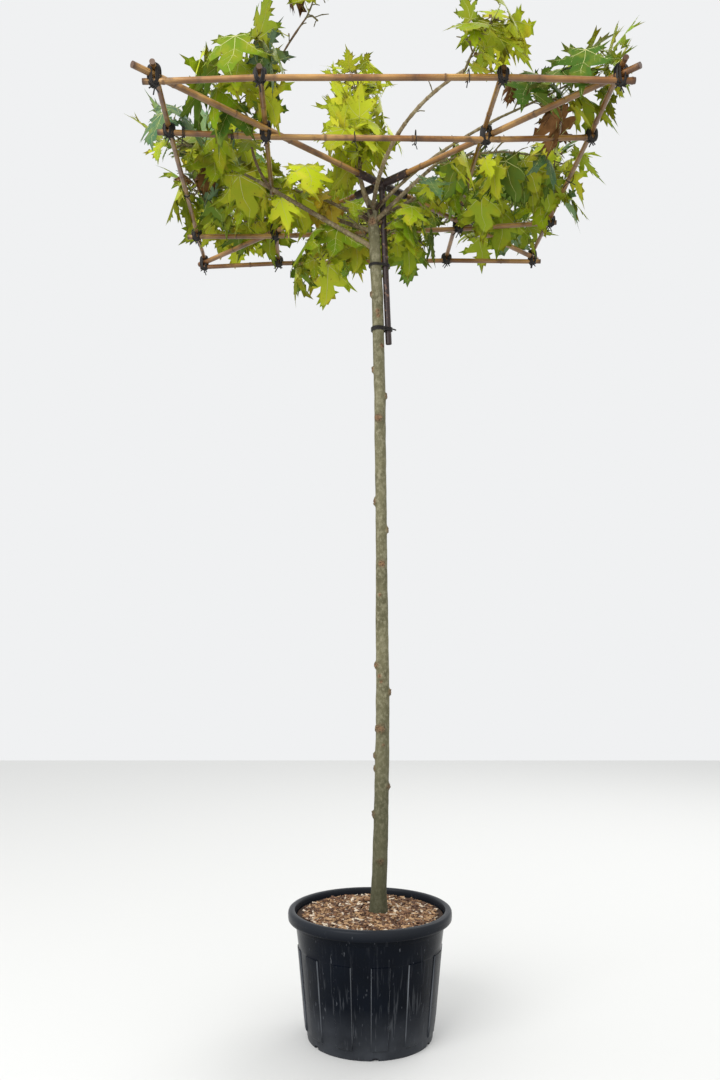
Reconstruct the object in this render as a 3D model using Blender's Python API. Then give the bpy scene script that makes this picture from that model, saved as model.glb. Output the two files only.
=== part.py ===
"""A roof-trained London plane in a black nursery pot.

A clear stem carries a flat crown that is trained over a square bamboo roof frame. The frame is held up
by a steel bracket, whose post is tied to the stem. Metres, +Z up. The origin is the centre of the pot's
flat underside, and the view along +Y is the front view.
"""

import math
import random

import bmesh
import bpy
from mathutils import Vector
from mathutils.bvhtree import BVHTree

# Clearance between pieces that touch
GAP = 0.0003

# Pot: a tapering tub with a rolled rim and raised panels
POT_HEIGHT = 0.408
POT_BASE_RADIUS = 0.200
POT_FOOT_RADIUS = 0.203
POT_FOOT_HEIGHT = 0.034
POT_BAND_BOTTOM = 0.292
POT_BAND_RADIUS = 0.229
POT_LIP_BOTTOM = 0.373
POT_NECK_RADIUS = 0.239
POT_RIM_RADIUS = 0.262
POT_RIM_ROUND = 0.008
POT_INNER_RIM = 0.239
POT_INNER_ROUND = 0.005
POT_WALL = 0.004
POT_FLOOR = 0.014
POT_PANELS = 24
PANEL_EDGES = (0.04, 0.96)
PANEL_RAISE = 0.004
PANEL_SLANT = 0.004
DRAIN_NOTCHES = 6
NOTCH_WIDTH = 0.020
NOTCH_HEIGHT = 0.010
NOTCH_DEPTH = 0.009
NOTCH_PAST = 0.020
NOTCH_TURN = math.radians(4)

# Bark mulch, a little higher round the stem than at the wall
SOIL_EDGE = 0.388
SOIL_EDGE_ROUND = 0.004
SOIL_EDGE_GAP = (0.003, 0.006)
SOIL_TOP = 0.396
SOIL_CROWN_RADIUS = 0.060

# Stem: height against sideways lean, then height against radius
STEM_FOOT = SOIL_TOP + GAP
STEM_TOP = 2.668
STEM_LEAN = ((STEM_FOOT, 0.027), (0.69, 0.036), (1.05, 0.041), (1.52, 0.037), (2.04, 0.032), (2.36, 0.024),
             (STEM_TOP, 0.008))
STEM_RADIUS = ((STEM_FOOT, 0.0275), (0.425, 0.0250), (0.70, 0.0235), (1.25, 0.0205), (1.60, 0.0180),
               (2.20, 0.0185), (STEM_TOP, 0.0180))
STEM_SIDES = 12
STEM_RINGS = 16

# Roof frame: its middle plane, then where each cane crosses the two edges of the square
FRAME_CENTRE = Vector((0.010, 0.0, 2.7245))
FRAME_SLOPE = Vector((0.0089, -0.0031))
FRAME_HALF = 0.60
CROSS_CANES = ((-0.607, -0.592), (-0.343, -0.296), (0.357, 0.272), (0.612, 0.587))
LONG_CANES = ((-0.573, -0.640), (-0.301, -0.355), (0.328, 0.289), (0.635, 0.616))
CROSS_OVERHANG = ((0.030, 0.037), (0.032, 0.015), (0.032, 0.022), (0.015, 0.031))
LONG_OVERHANG = ((0.030, 0.022), (0.024, 0.022), (0.018, 0.022), (0.045, 0.022))
CROSS_RADIUS = 0.0082
LONG_RADIUS = 0.0074
ARM_RADIUS = 0.0088
CANE_SIDES = 6
# A cane's bend is dropped where it would lie this close to the one before
SHORTEST_RUN = 0.001
# How far from a crossing the diagonal arm may pass a cane
ARM_SEARCH = 0.06

# Steel bracket: four sockets for the diagonal arms on a post beside the stem
HUB = Vector((0.038, -0.004, FRAME_CENTRE.z))
HUB_RADIUS = 0.016
HUB_HALF = 0.017
HUB_OVERLAP = 0.004
SOCKET_LENGTH = 0.110
SOCKET_RADIUS = 0.0125
SOCKET_SIDES = 8
BORE_PAST = 0.020
ARM_START = 0.040
ARM_OVERHANG = {"front_left": 0.065, "front_right": 0.055, "back_right": 0.030, "back_left": 0.030}
POST_FOOT = Vector((0.0605, 0.008, 2.216))
POST_RADIUS = 0.0100

# Ties
TIE_THICK = 0.0030
TIE_WIDTH = 0.0070
TIE_SIDE_GAP = 0.0010
STEM_TIE_HEIGHTS = (2.466, 2.262)
STEM_TIE_THICK = 0.0028
STEM_TIE_HEIGHT = 0.0080
STEM_TIE_TURNS = 8
POST_TIE_TURNS = 5

# Boughs. from: the stem's height, or the bough it forks from and how far along. bow: how far its middle
# is drawn aside from the straight line. lead: which way and how hard it is drawn where it starts.
BOUGHS = {
    "left": {
        "from": 2.520, "tip": (-0.350, -0.062, 2.706), "bow": (-0.005, 0.022, 0.012),
        "radii": (0.0085, 0.0055)},
    "upright": {
        "from": 2.640, "tip": (-0.034, -0.004, 2.800), "bow": (-0.012, 0.000, 0.000),
        "radii": (0.0100, 0.0045)},
    "front_right": {
        "from": 2.640, "tip": (0.238, -0.586, 2.744), "bow": (-0.046, -0.012, 0.034),
        "radii": (0.0070, 0.0042)},
    "right": {
        "from": 2.600, "tip": (0.205, -0.112, 2.738), "bow": (0.004, -0.010, 0.004),
        "radii": (0.0075, 0.0048)},
    "right_front": {
        "from": 2.635, "tip": (0.370, -0.292, 2.780), "bow": (-0.025, 0.078, 0.046),
        "radii": (0.0062, 0.0040), "lead": (0.050, -0.055, 0.025)},
    "side_right": {
        "from": 2.610, "tip": (0.190, 0.062, 2.735), "bow": (0.000, 0.012, 0.004),
        "radii": (0.0070, 0.0045)},
    "back_right": {
        "from": 2.565, "tip": (0.190, 0.245, 2.760), "bow": (-0.020, 0.020, 0.006),
        "radii": (0.0070, 0.0045)},
    "back": {
        "from": 2.600, "tip": (-0.020, 0.300, 2.757), "bow": (0.010, 0.000, 0.006),
        "radii": (0.0070, 0.0045)},
    "back_left": {
        "from": 2.575, "tip": (-0.235, 0.205, 2.760), "bow": (0.000, 0.020, 0.002),
        "radii": (0.0075, 0.0048)},
    "side_left": {
        "from": 2.607, "tip": (-0.185, 0.062, 2.725), "bow": (0.000, 0.012, 0.004),
        "radii": (0.0065, 0.0045)},
    "front_left": {
        "from": ("left", 0.90), "tip": (-0.350, -0.285, 2.765), "bow": (-0.020, 0.000, 0.000),
        "radii": (0.0045, 0.0036)},
    "tall_left": {
        "from": ("front_left", 0.84), "tip": (-0.186, -0.368, 3.020), "bow": (-0.024, -0.010, -0.010),
        "radii": (0.0034, 0.0026)},
}
BOUGH_SIDES = 6
BOUGH_RINGS = 6
BOUGH_TOP = Vector((0.3, 0.9, 0.3))

# Masses of foliage. on: the bough whose tip it grows from, or the stem's height. tip: the end of its own
# stem. twigs: side twigs, and reach: their length. space: how far leaves may stand from that stem.
# droop: how far the leaves hang, in degrees.
MASSES = {
    "left": {
        "on": "left", "tip": (-0.615, -0.250, 2.775), "bow": (-0.010, 0.030, 0.012),
        "twigs": 5, "reach": 0.11, "space": 0.20, "droop": 42, "seed": 11},
    "front_left": {
        "on": "front_left", "tip": (-0.375, -0.510, 2.835), "bow": (-0.020, 0.000, 0.010),
        "twigs": 5, "reach": 0.11, "space": 0.19, "droop": 48, "seed": 12},
    "tall_left": {
        "on": "tall_left", "tip": (-0.150, -0.380, 3.130), "bow": (0.006, 0.000, 0.000),
        "twigs": 3, "reach": 0.05, "space": 0.15, "droop": 15, "seed": 13},
    "upright": {
        "on": "upright", "tip": (-0.045, 0.015, 3.105), "bow": (0.010, 0.000, 0.000),
        "twigs": 6, "reach": 0.07, "space": 0.17, "droop": 22, "seed": 14},
    "front_right": {
        "on": "front_right", "tip": (0.300, -0.655, 2.830), "bow": (-0.010, 0.000, -0.010),
        "twigs": 3, "reach": 0.06, "space": 0.16, "droop": 35, "seed": 15},
    "right": {
        "on": "right", "tip": (0.610, -0.045, 2.770), "bow": (0.000, -0.035, 0.018),
        "twigs": 7, "reach": 0.12, "space": 0.22, "droop": 55, "seed": 16},
    "right_front": {
        "on": "right_front", "tip": (0.600, -0.485, 2.805), "bow": (0.020, 0.010, 0.010),
        "twigs": 6, "reach": 0.11, "space": 0.19, "droop": 45, "seed": 17},
    "side_right": {
        "on": "side_right", "tip": (0.600, 0.215, 2.765), "bow": (0.000, 0.000, 0.028),
        "twigs": 6, "reach": 0.12, "space": 0.21, "droop": 58, "seed": 18},
    "back_right": {
        "on": "back_right", "tip": (0.520, 0.530, 2.795), "bow": (0.000, 0.020, 0.012),
        "twigs": 6, "reach": 0.14, "space": 0.23, "droop": 45, "seed": 19},
    "back": {
        "on": "back", "tip": (0.020, 0.590, 2.790), "bow": (0.000, 0.000, 0.012),
        "twigs": 5, "reach": 0.14, "space": 0.23, "droop": 45, "seed": 20},
    "back_left": {
        "on": "back_left", "tip": (-0.540, 0.500, 2.795), "bow": (0.000, 0.020, 0.010),
        "twigs": 6, "reach": 0.14, "space": 0.23, "droop": 48, "seed": 21},
    "side_left": {
        "on": "side_left", "tip": (-0.590, 0.150, 2.775), "bow": (0.000, 0.000, 0.016),
        "twigs": 6, "reach": 0.12, "space": 0.21, "droop": 50, "seed": 24},
    "low_left": {
        "on": 2.545, "tip": (-0.165, 0.080, 2.515), "bow": (0.000, 0.000, 0.045),
        "twigs": 5, "reach": 0.09, "space": 0.22, "droop": 72, "seed": 22},
    "low_right": {
        "on": 2.545, "tip": (0.150, 0.130, 2.590), "bow": (0.010, 0.000, 0.040),
        "twigs": 4, "reach": 0.08, "space": 0.22, "droop": 68, "seed": 23},
}
# A mass's stem starts a little thinner than the bough's tip
STEM_TO_TIP = 0.94
STEM_TWIG_RADIUS = (0.0036, 0.0020)
SIDE_TWIG_RADII = (0.0018, 0.0027, 0.0021)
MASS_RINGS = 6
MASS_COLLAR = 0.005
MASS_SIDES = 4
TWIG_SIDES = 4
TWIG_SPAN = (0.14, 0.94)
TWIG_ANGLE = 52
TWIG_ANGLE_SPREAD = 14
TWIG_RISE = (-0.12, 0.30)
TWIG_REACH_SPREAD = (0.75, 1.20)
TWIG_SHORTENING = 0.45
TWIG_BOW = (0.0, 0.0, 0.010)
STEEP = 0.8

LEAF_LENGTH = (0.110, 0.155)
LEAF_THICK = 0.0026
STALK_WIDTH = 0.0030
STALK_ROOT = 0.0016
STALK_POINTS = 3
STALK_SHARE = 0.34
STALK_SINK = 0.0004
STALK_LEAN = (-5, 40)
END_LEAF_INSET = 0.003
LEAF_FORWARD = 0.6
LEAF_SPIN = 0.6
LEAF_ROLL = 0.5
DROOP_SPREAD = 26
FLATTEST = 0.2
LEAF_TRIES = 30
# Room kept between foliage and whatever it must not touch
CLEARANCE = 0.004
LEAF_MARGIN = 1.03
# Where leaves sit along a twig, and on which hand
LEAF_STEPS = ((0.30, 1), (0.56, -1), (0.80, 1))
# Half of the leaf's outline for a length of 1: basal lobe, notch, side lobe, notch
LEAF_HALF = ((0.40, 0.02), (0.29, 0.26), (0.58, 0.54), (0.21, 0.56))
LEAF_HEART = 0.36
LEAF_FOLD = 0.16
LEAF_CURL = 0.20


def clear_scene():
    for thing in list(bpy.data.objects):
        bpy.data.objects.remove(thing)


def material(name, colour, roughness, metallic=0.0):
    made = bpy.data.materials.new(name)
    made.use_nodes = True
    shader = made.node_tree.nodes["Principled BSDF"]
    shader.inputs["Base Color"].default_value = (*colour, 1.0)
    shader.inputs["Roughness"].default_value = roughness
    shader.inputs["Metallic"].default_value = metallic
    return made


def solid(name, shape, finish, sharp=math.radians(35)):
    """A new object from (points, faces), its faces turned outwards."""
    points, faces = shape
    mesh = bpy.data.meshes.new(name)
    mesh.from_pydata([tuple(p) for p in points], [], faces)
    work = bmesh.new()
    work.from_mesh(mesh)
    bmesh.ops.recalc_face_normals(work, faces=work.faces)
    work.to_mesh(mesh)
    work.free()
    mesh.shade_smooth()
    mesh.set_sharp_from_angle(angle=sharp)
    mesh.materials.append(finish)
    made = bpy.data.objects.new(name, mesh)
    bpy.context.scene.collection.objects.link(made)
    return made


def settle(target):
    """Applies the modifiers of an object to its mesh."""
    bpy.context.view_layer.update()
    evaluated = target.evaluated_get(bpy.context.evaluated_depsgraph_get())
    mesh = bpy.data.meshes.new_from_object(evaluated)
    target.modifiers.clear()
    target.data = mesh


def cut(target, cutter):
    """Cuts the cutter out of the target, and removes the cutter."""
    step = target.modifiers.new("cut", "BOOLEAN")
    step.operation = "DIFFERENCE"
    step.object = cutter
    settle(target)
    bpy.data.objects.remove(cutter)


def fuse(target, others, solver="EXACT"):
    """Joins the others to the target by one union on a collection, and removes them."""
    group = bpy.data.collections.new(target.name)
    bpy.context.scene.collection.children.link(group)
    for other in others:
        bpy.context.scene.collection.objects.unlink(other)
        group.objects.link(other)
    step = target.modifiers.new("fuse", "BOOLEAN")
    step.operation = "UNION"
    step.operand_type = "COLLECTION"
    step.collection = group
    step.solver = solver
    settle(target)
    for other in others:
        bpy.data.objects.remove(other)
    bpy.data.collections.remove(group)


def drop_scraps(target):
    """Keeps only the largest of an object's closed shells, which drops loose scraps and fills hollows.

    Points left along straight edges go first, because they would part the faces beside them.
    """
    work = bmesh.new()
    work.from_mesh(target.data)
    along_edges = [vert for vert in work.verts if len(vert.link_edges) == 2]
    bmesh.ops.dissolve_verts(work, verts=along_edges)
    bmesh.ops.triangulate(work, faces=work.faces)
    waiting = set(work.faces)
    shells = []
    while waiting:
        reached = [waiting.pop()]
        shell = set(reached)
        while reached:
            sides = [edge.link_faces for edge in reached.pop().edges if len(edge.link_faces) == 2]
            for face in waiting.intersection(face for pair in sides for face in pair):
                waiting.discard(face)
                shell.add(face)
                reached.append(face)
        shells.append(shell)
    largest = max(shells, key=len)
    scraps = [face for shell in shells if shell is not largest for face in shell]
    bmesh.ops.delete(work, geom=scraps, context="FACES")
    work.to_mesh(target.data)
    work.free()


def between(stops, at):
    """Reads a value off a short list of (place, value) stops, with smooth steps."""
    for (low, first), (high, last) in zip(stops, stops[1:]):
        if at <= high:
            share = min(max((at - low) / (high - low), 0.0), 1.0)
            return first + (last - first) * share * share * (3 - 2 * share)
    return stops[-1][1]


def ring_solid(rings):
    """A closed solid from rings of equal count, each ring a list of points, with both ends closed."""
    count = len(rings[0])
    points = [point for ring in rings for point in ring]
    faces = [list(range(count)), [len(points) - 1 - corner for corner in range(count)]]
    for index in range(len(rings) - 1):
        low = index * count
        for corner in range(count):
            after = (corner + 1) % count
            faces.append([low + corner, low + after, low + count + after, low + count + corner])
    return points, faces


def tube(points, radii, sides, top=Vector((0, 0, 1))):
    """A closed limb through the points, whose first corner faces top."""
    rings = []
    for index, point in enumerate(points):
        ahead = points[min(index + 1, len(points) - 1)] - points[max(index - 1, 0)]
        ahead.normalize()
        top = (top - ahead * top.dot(ahead)).normalized()
        aside = ahead.cross(top)
        turns = [math.tau * corner / sides for corner in range(sides)]
        rings.append([point + (top * math.cos(turn) + aside * math.sin(turn)) * radii[index] for turn in turns])
    return ring_solid(rings)


def taper(radii, count):
    return [radii[0] + (radii[1] - radii[0]) * step / (count - 1) for step in range(count)]


def arc(start, tip, bow, count, lead=None):
    """Points along a bent line, whose middle is drawn aside by bow and whose start by lead."""
    bend = (start + tip) / 2 + Vector(bow) * 2
    steps = [step / (count - 1) for step in range(count)]
    if lead is None:
        return [start * (1 - t) ** 2 + bend * 2 * t * (1 - t) + tip * t * t for t in steps]
    first = start + Vector(lead)
    return [start * (1 - t) ** 3 + first * 3 * t * (1 - t) ** 2 + bend * 3 * t * t * (1 - t) + tip * t ** 3
            for t in steps]


def level_way(turn):
    return Vector((math.cos(turn), math.sin(turn), 0))


# Pot


def pot_inner_radius(height):
    share = (height - POT_FLOOR) / (POT_LIP_BOTTOM - POT_FLOOR)
    low = POT_BASE_RADIUS - POT_WALL
    high = POT_NECK_RADIUS - POT_WALL
    return low + (high - low) * share


def pot_ring(radius, height, raised=0.0):
    """A ring of the pot's wall. Every other panel stands out by raised."""
    points = []
    for panel in range(POT_PANELS):
        out = radius + (raised if panel % 2 == 0 else 0.0)
        for edge in PANEL_EDGES:
            turn = math.tau * (panel + edge) / POT_PANELS - math.pi / 2
            points.append(level_way(turn) * out + Vector((0, 0, height)))
    return points


def make_pot(finish):
    lip_middle = (POT_HEIGHT + POT_LIP_BOTTOM) / 2
    rings = [
        pot_ring(POT_BASE_RADIUS, 0.0),
        pot_ring(POT_FOOT_RADIUS, POT_FOOT_HEIGHT - PANEL_SLANT),
        pot_ring(POT_FOOT_RADIUS, POT_FOOT_HEIGHT, PANEL_RAISE),
        pot_ring(POT_BAND_RADIUS, POT_BAND_BOTTOM - PANEL_SLANT, PANEL_RAISE),
        pot_ring(POT_BAND_RADIUS, POT_BAND_BOTTOM),
        pot_ring(POT_NECK_RADIUS, POT_LIP_BOTTOM),
        pot_ring(POT_RIM_RADIUS - POT_RIM_ROUND, POT_LIP_BOTTOM),
        pot_ring(POT_RIM_RADIUS, POT_LIP_BOTTOM + POT_RIM_ROUND),
        pot_ring(POT_RIM_RADIUS, lip_middle + POT_RIM_ROUND / 2),
        pot_ring(POT_RIM_RADIUS - POT_RIM_ROUND, POT_HEIGHT),
        pot_ring(POT_INNER_RIM + POT_INNER_ROUND, POT_HEIGHT),
        pot_ring(POT_INNER_RIM, POT_HEIGHT - POT_INNER_ROUND),
        pot_ring(pot_inner_radius(POT_LIP_BOTTOM), POT_LIP_BOTTOM),
        pot_ring(pot_inner_radius(POT_FLOOR), POT_FLOOR),
    ]
    pot = solid("pot", ring_solid(rings), finish)
    for notch in range(DRAIN_NOTCHES):
        turn = math.tau * notch / DRAIN_NOTCHES - math.pi / 2 + NOTCH_TURN
        cut(pot, solid("notch", notch_shape(turn), finish))
    return pot


def notch_shape(turn):
    """The block that a drain notch leaves out of the pot's foot."""
    out = level_way(turn)
    side = level_way(turn + math.pi / 2) * NOTCH_WIDTH / 2
    low = Vector((0, 0, -NOTCH_HEIGHT))
    high = Vector((0, 0, NOTCH_HEIGHT))
    ends = [out * (POT_BASE_RADIUS - NOTCH_DEPTH), out * (POT_BASE_RADIUS + NOTCH_PAST)]
    return ring_solid([[end - side + low, end + side + low, end + side + high, end - side + high]
                       for end in ends])


def make_soil(finish):
    inner = [
        (pot_inner_radius(POT_FLOOR) - GAP, POT_FLOOR + GAP),
        (pot_inner_radius(POT_LIP_BOTTOM) - GAP, POT_LIP_BOTTOM),
        (POT_INNER_RIM - SOIL_EDGE_GAP[0], SOIL_EDGE - SOIL_EDGE_ROUND),
        (POT_INNER_RIM - SOIL_EDGE_GAP[1], SOIL_EDGE),
    ]
    rings = [pot_ring(radius, height) for radius, height in inner]
    stem_side = Vector((STEM_LEAN[0][1], 0, 0))
    rings.append([place + stem_side for place in pot_ring(SOIL_CROWN_RADIUS, SOIL_TOP)])
    return solid("soil", ring_solid(rings), finish)


# Stem


def stem_axis(height):
    return Vector((between(STEM_LEAN, height), 0, height))


def stem_stations():
    """The stem's rings from the foot to the fork, as (centre, radius)."""
    heights = [STEM_FOOT + (STEM_TOP - STEM_FOOT) * step / (STEM_RINGS - 1) for step in range(STEM_RINGS)]
    heights.insert(1, STEM_RADIUS[1][0])
    return [(stem_axis(height), between(STEM_RADIUS, height)) for height in heights]


def stem_at(height):
    """The stem's centre and radius between two of its rings."""
    stations = stem_stations()
    for (low, first), (high, last) in zip(stations, stations[1:]):
        if height <= high.z:
            break
    share = (height - low.z) / (high.z - low.z)
    return low.lerp(high, share), first + (last - first) * share


def stem_shape(more=0.0, top_more=0.0):
    stations = stem_stations()
    stations[-1][0].z += top_more
    turns = [math.tau * (corner + 0.5) / STEM_SIDES for corner in range(STEM_SIDES)]
    return ring_solid([[centre + level_way(turn) * (radius + more) for turn in turns]
                       for centre, radius in stations])


# Roof frame


def frame_height(plan):
    """Height of the frame's middle plane at a place in the frame's own plan."""
    return FRAME_CENTRE.z + FRAME_SLOPE.dot(plan)


def cross_plan(index, at):
    """Place on a cross cane whose own line has gone from -FRAME_HALF to at."""
    left, right = CROSS_CANES[index]
    return Vector((at, left + (right - left) * (at + FRAME_HALF) / (2 * FRAME_HALF)))


def long_plan(index, at):
    near, far = LONG_CANES[index]
    return Vector((near + (far - near) * (at + FRAME_HALF) / (2 * FRAME_HALF), at))


def crossing(cross, long):
    """Where a cross cane meets a long one in plan, by closing in on both lines."""
    place = Vector((0.0, 0.0))
    for _ in range(12):
        place = cross_plan(cross, long_plan(long, place.y).x)
    return place


def on_arm(cross, long):
    """Whether a diagonal arm runs between the two canes where they cross."""
    return cross == long or cross + long == 3


def arm_corner(arm):
    cross, long = ((0, 0), (0, 3), (3, 3), (3, 0))[arm]
    return crossing(cross, long)


def arm_axis(arm):
    """The hub's centre and the outer end of a diagonal arm."""
    corner = arm_corner(arm)
    outer = Vector((corner.x + FRAME_CENTRE.x, corner.y, frame_height(corner)))
    ahead = (outer - HUB).normalized()
    return HUB, ahead, (outer - HUB).length


def lift(radius, cross, long):
    """How far a cane's own line lies from the frame's middle plane at a crossing."""
    if on_arm(cross, long):
        return ARM_RADIUS + radius + GAP
    return (CROSS_RADIUS + LONG_RADIUS + GAP) / 2


def frame_point(plan, drop):
    return Vector((plan.x + FRAME_CENTRE.x, plan.y, frame_height(plan) + drop))


def arm_plan_at(arm, cane_plan, guess):
    """The place on a cane where the diagonal arm passes it, near guess."""
    hub = Vector((HUB.x - FRAME_CENTRE.x, HUB.y))
    corner = arm_corner(arm)
    low, high = guess - ARM_SEARCH, guess + ARM_SEARCH

    def side(at):
        place = cane_plan(at)
        along = corner - hub
        return along.x * (place.y - hub.y) - along.y * (place.x - hub.x)

    for _ in range(40):
        middle = (low + high) / 2
        if side(low) * side(middle) <= 0:
            high = middle
        else:
            low = middle
    return (low + high) / 2


def arm_at(cross, long):
    return {(False, False): 0, (False, True): 1, (True, True): 2, (True, False): 3}[(cross > 1, long > 1)]


def cane_stations(plan, index, axis, overhang):
    """Where a cane bends, as places along it with its height off the middle plane."""
    radius = CROSS_RADIUS if axis == 0 else LONG_RADIUS
    stops = []
    for other in range(4):
        cross, long = (index, other) if axis == 0 else (other, index)
        level = lift(radius, cross, long)
        at = crossing(cross, long)[axis]
        stops.append((at, level))
        if on_arm(cross, long):
            stops.append((arm_plan_at(arm_at(cross, long), plan, at), level))
    stops = sorted(stops)
    ends = ((stops[0][0] - overhang[0], stops[0][1]), (stops[-1][0] + overhang[1], stops[-1][1]))
    kept = [ends[0]]
    for stop in stops + [ends[1]]:
        if stop[0] - kept[-1][0] > SHORTEST_RUN:
            kept.append(stop)
    return kept


def cane_axis(index, axis):
    if axis == 0:
        stops = cane_stations(lambda at: cross_plan(index, at), index, 0, CROSS_OVERHANG[index])
        return [frame_point(cross_plan(index, at), -level) for at, level in stops]
    stops = cane_stations(lambda at: long_plan(index, at), index, 1, LONG_OVERHANG[index])
    return [frame_point(long_plan(index, at), level) for at, level in stops]


def make_canes(finish):
    canes = []
    for index in range(4):
        for axis, kind, radius in ((0, "cross", CROSS_RADIUS), (1, "long", LONG_RADIUS)):
            points = cane_axis(index, axis)
            shape = tube(points, [radius] * len(points), CANE_SIDES)
            canes.append(solid(f"{kind}_cane_{index + 1}", shape, finish))
    return canes


def make_arms(finish):
    arms = []
    for arm, (name, overhang) in enumerate(ARM_OVERHANG.items()):
        hub, ahead, length = arm_axis(arm)
        points = [hub + ahead * ARM_START, hub + ahead * (length + overhang)]
        arms.append(solid(f"arm_cane_{name}", tube(points, [ARM_RADIUS] * 2, CANE_SIDES), finish))
    return arms


def make_bracket(finish):
    """Four sockets on a hub, with the post below it. Each socket is bored for its cane."""
    sockets = []
    for arm in range(4):
        hub, ahead, _ = arm_axis(arm)
        points = [hub + ahead * HUB_OVERLAP, hub + ahead * SOCKET_LENGTH]
        sockets.append(solid("socket", tube(points, [SOCKET_RADIUS] * 2, SOCKET_SIDES), finish))
    post = [POST_FOOT, HUB - Vector((0, 0, HUB_OVERLAP))]
    sockets.append(solid("post", tube(post, [POST_RADIUS] * 2, SOCKET_SIDES, Vector((0, 1, 0))), finish))
    half = Vector((0, 0, HUB_HALF))
    hub_shape = tube([HUB - half, HUB + half], [HUB_RADIUS] * 2, SOCKET_SIDES, Vector((0, 1, 0)))
    bracket = solid("bracket", hub_shape, finish)
    fuse(bracket, sockets)
    for arm in range(4):
        hub, ahead, _ = arm_axis(arm)
        points = [hub + ahead * (ARM_START - GAP), hub + ahead * (SOCKET_LENGTH + BORE_PAST)]
        radius = ARM_RADIUS + GAP / math.cos(math.pi / CANE_SIDES)
        cut(bracket, solid("bore", tube(points, [radius] * 2, CANE_SIDES), finish))
    return bracket


# Ties


def make_frame_ties(finish):
    """A loop round each crossing, in a plane that stands across the arm or between the canes."""
    ties = []
    slant = math.sqrt(0.5)
    cane_half = max(CROSS_RADIUS, LONG_RADIUS) / slant + TIE_WIDTH / 2 + GAP
    arm_half = ARM_RADIUS + TIE_SIDE_GAP
    for cross in range(4):
        for long in range(4):
            plan = crossing(cross, long)
            turned = -1 if (cross > 1) == (long > 1) else 1
            aside = Vector((slant, slant * turned, 0))
            ahead = Vector((-slant * turned, slant, 0))
            near, far = -cane_half, cane_half
            if on_arm(cross, long):
                past = arm_aside(arm_at(cross, long), plan, aside)
                near, far = min(near, past - arm_half), max(far, past + arm_half)
            low = frame_point(plan, -lift(CROSS_RADIUS, cross, long) - CROSS_RADIUS - GAP)
            high = frame_point(plan, lift(LONG_RADIUS, cross, long) + LONG_RADIUS + GAP)
            loops = []
            for more, shift in ((0, -1), (TIE_THICK, -1), (TIE_THICK, 1), (0, 1)):
                left, right = aside * (near - more), aside * (far + more)
                move = ahead * (shift * TIE_WIDTH / 2)
                up = Vector((0, 0, more))
                loops.append([low + left - up + move, low + right - up + move, high + right + up + move,
                              high + left + up + move])
            ties.append(solid(f"frame_tie_{cross + 1}_{long + 1}", band(loops), finish))
    return ties


def arm_aside(arm, plan, aside):
    """How far a diagonal arm's line passes from a crossing, along aside."""
    hub, ahead, _ = arm_axis(arm)
    away = frame_point(plan, 0) - hub
    flat = Vector((ahead.x, ahead.y, 0)).normalized()
    away.z = 0
    return -(away - flat * away.dot(flat)).dot(aside)


def band(loops):
    """A closed band from four loops of points: its inner and outer edge on each side, in turn."""
    count = len(loops[0])
    points = [point for loop in loops for point in loop]
    faces = []
    for loop in range(4):
        following = (loop + 1) % 4
        for corner in range(count):
            after = (corner + 1) % count
            faces.append([loop * count + corner, loop * count + after, following * count + after,
                          following * count + corner])
    return points, faces


def post_at(height):
    share = (height - POST_FOOT.z) / (HUB.z - POST_FOOT.z)
    return POST_FOOT + (HUB - POST_FOOT) * share


def make_stem_ties(finish):
    """A band round the stem and the post at each of the two tied heights."""
    ties = []
    for number, height in enumerate(STEM_TIE_HEIGHTS):
        stem, stem_radius = stem_at(height)
        post = post_at(height)
        toward = math.atan2(post.y - stem.y, post.x - stem.x)
        stem_step = math.pi / STEM_TIE_TURNS
        post_step = math.pi / POST_TIE_TURNS
        stem_turns = [toward + math.pi / 2 + stem_step * step for step in range(STEM_TIE_TURNS + 1)]
        post_turns = [toward - math.pi / 2 + post_step * step for step in range(POST_TIE_TURNS + 1)]
        stem_clear = (stem_radius + GAP) / math.cos(stem_step / 2) + GAP
        post_clear = (POST_RADIUS + GAP) / math.cos(post_step / 2) + GAP
        spots = [(stem, turn, stem_clear) for turn in stem_turns]
        spots += [(post, turn, post_clear) for turn in post_turns]
        loops = []
        half = STEM_TIE_HEIGHT / 2
        for more, rise in ((0, -half), (STEM_TIE_THICK, -half), (STEM_TIE_THICK, half), (0, half)):
            loop = []
            for centre, turn, clear in spots:
                out = level_way(turn) * (clear + more)
                loop.append(Vector((centre.x, centre.y, height + rise)) + out)
            loops.append(loop)
        ties.append(solid(f"stem_tie_{number + 1}", band(loops), finish))
    return ties


# Boughs


def bough_points(name):
    bough = BOUGHS[name]
    origin = bough["from"]
    if isinstance(origin, tuple):
        parent, share = origin
        line = bough_points(parent)
        place = share * (len(line) - 1)
        step = int(place)
        start = line[step].lerp(line[step + 1], place - step)
    else:
        start = stem_axis(origin)
    return arc(start, Vector(bough["tip"]), bough["bow"], BOUGH_RINGS, bough.get("lead"))


def bough_shape(name, more=0.0):
    points = bough_points(name)
    radii = [radius + more for radius in taper(BOUGHS[name]["radii"], BOUGH_RINGS)]
    return tube(points, radii, BOUGH_SIDES, BOUGH_TOP)


def make_boughs(finish):
    boughs = []
    for name, bough in BOUGHS.items():
        limb = solid(f"bough_{name}", bough_shape(name), finish)
        origin = bough["from"]
        if isinstance(origin, tuple):
            cutter = bough_shape(origin[0], GAP / math.cos(math.pi / BOUGH_SIDES))
        else:
            cutter = stem_shape(GAP / math.cos(math.pi / STEM_SIDES), GAP)
        cut(limb, solid("cutter", cutter, finish))
        boughs.append(limb)
    return boughs


# Foliage


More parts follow.
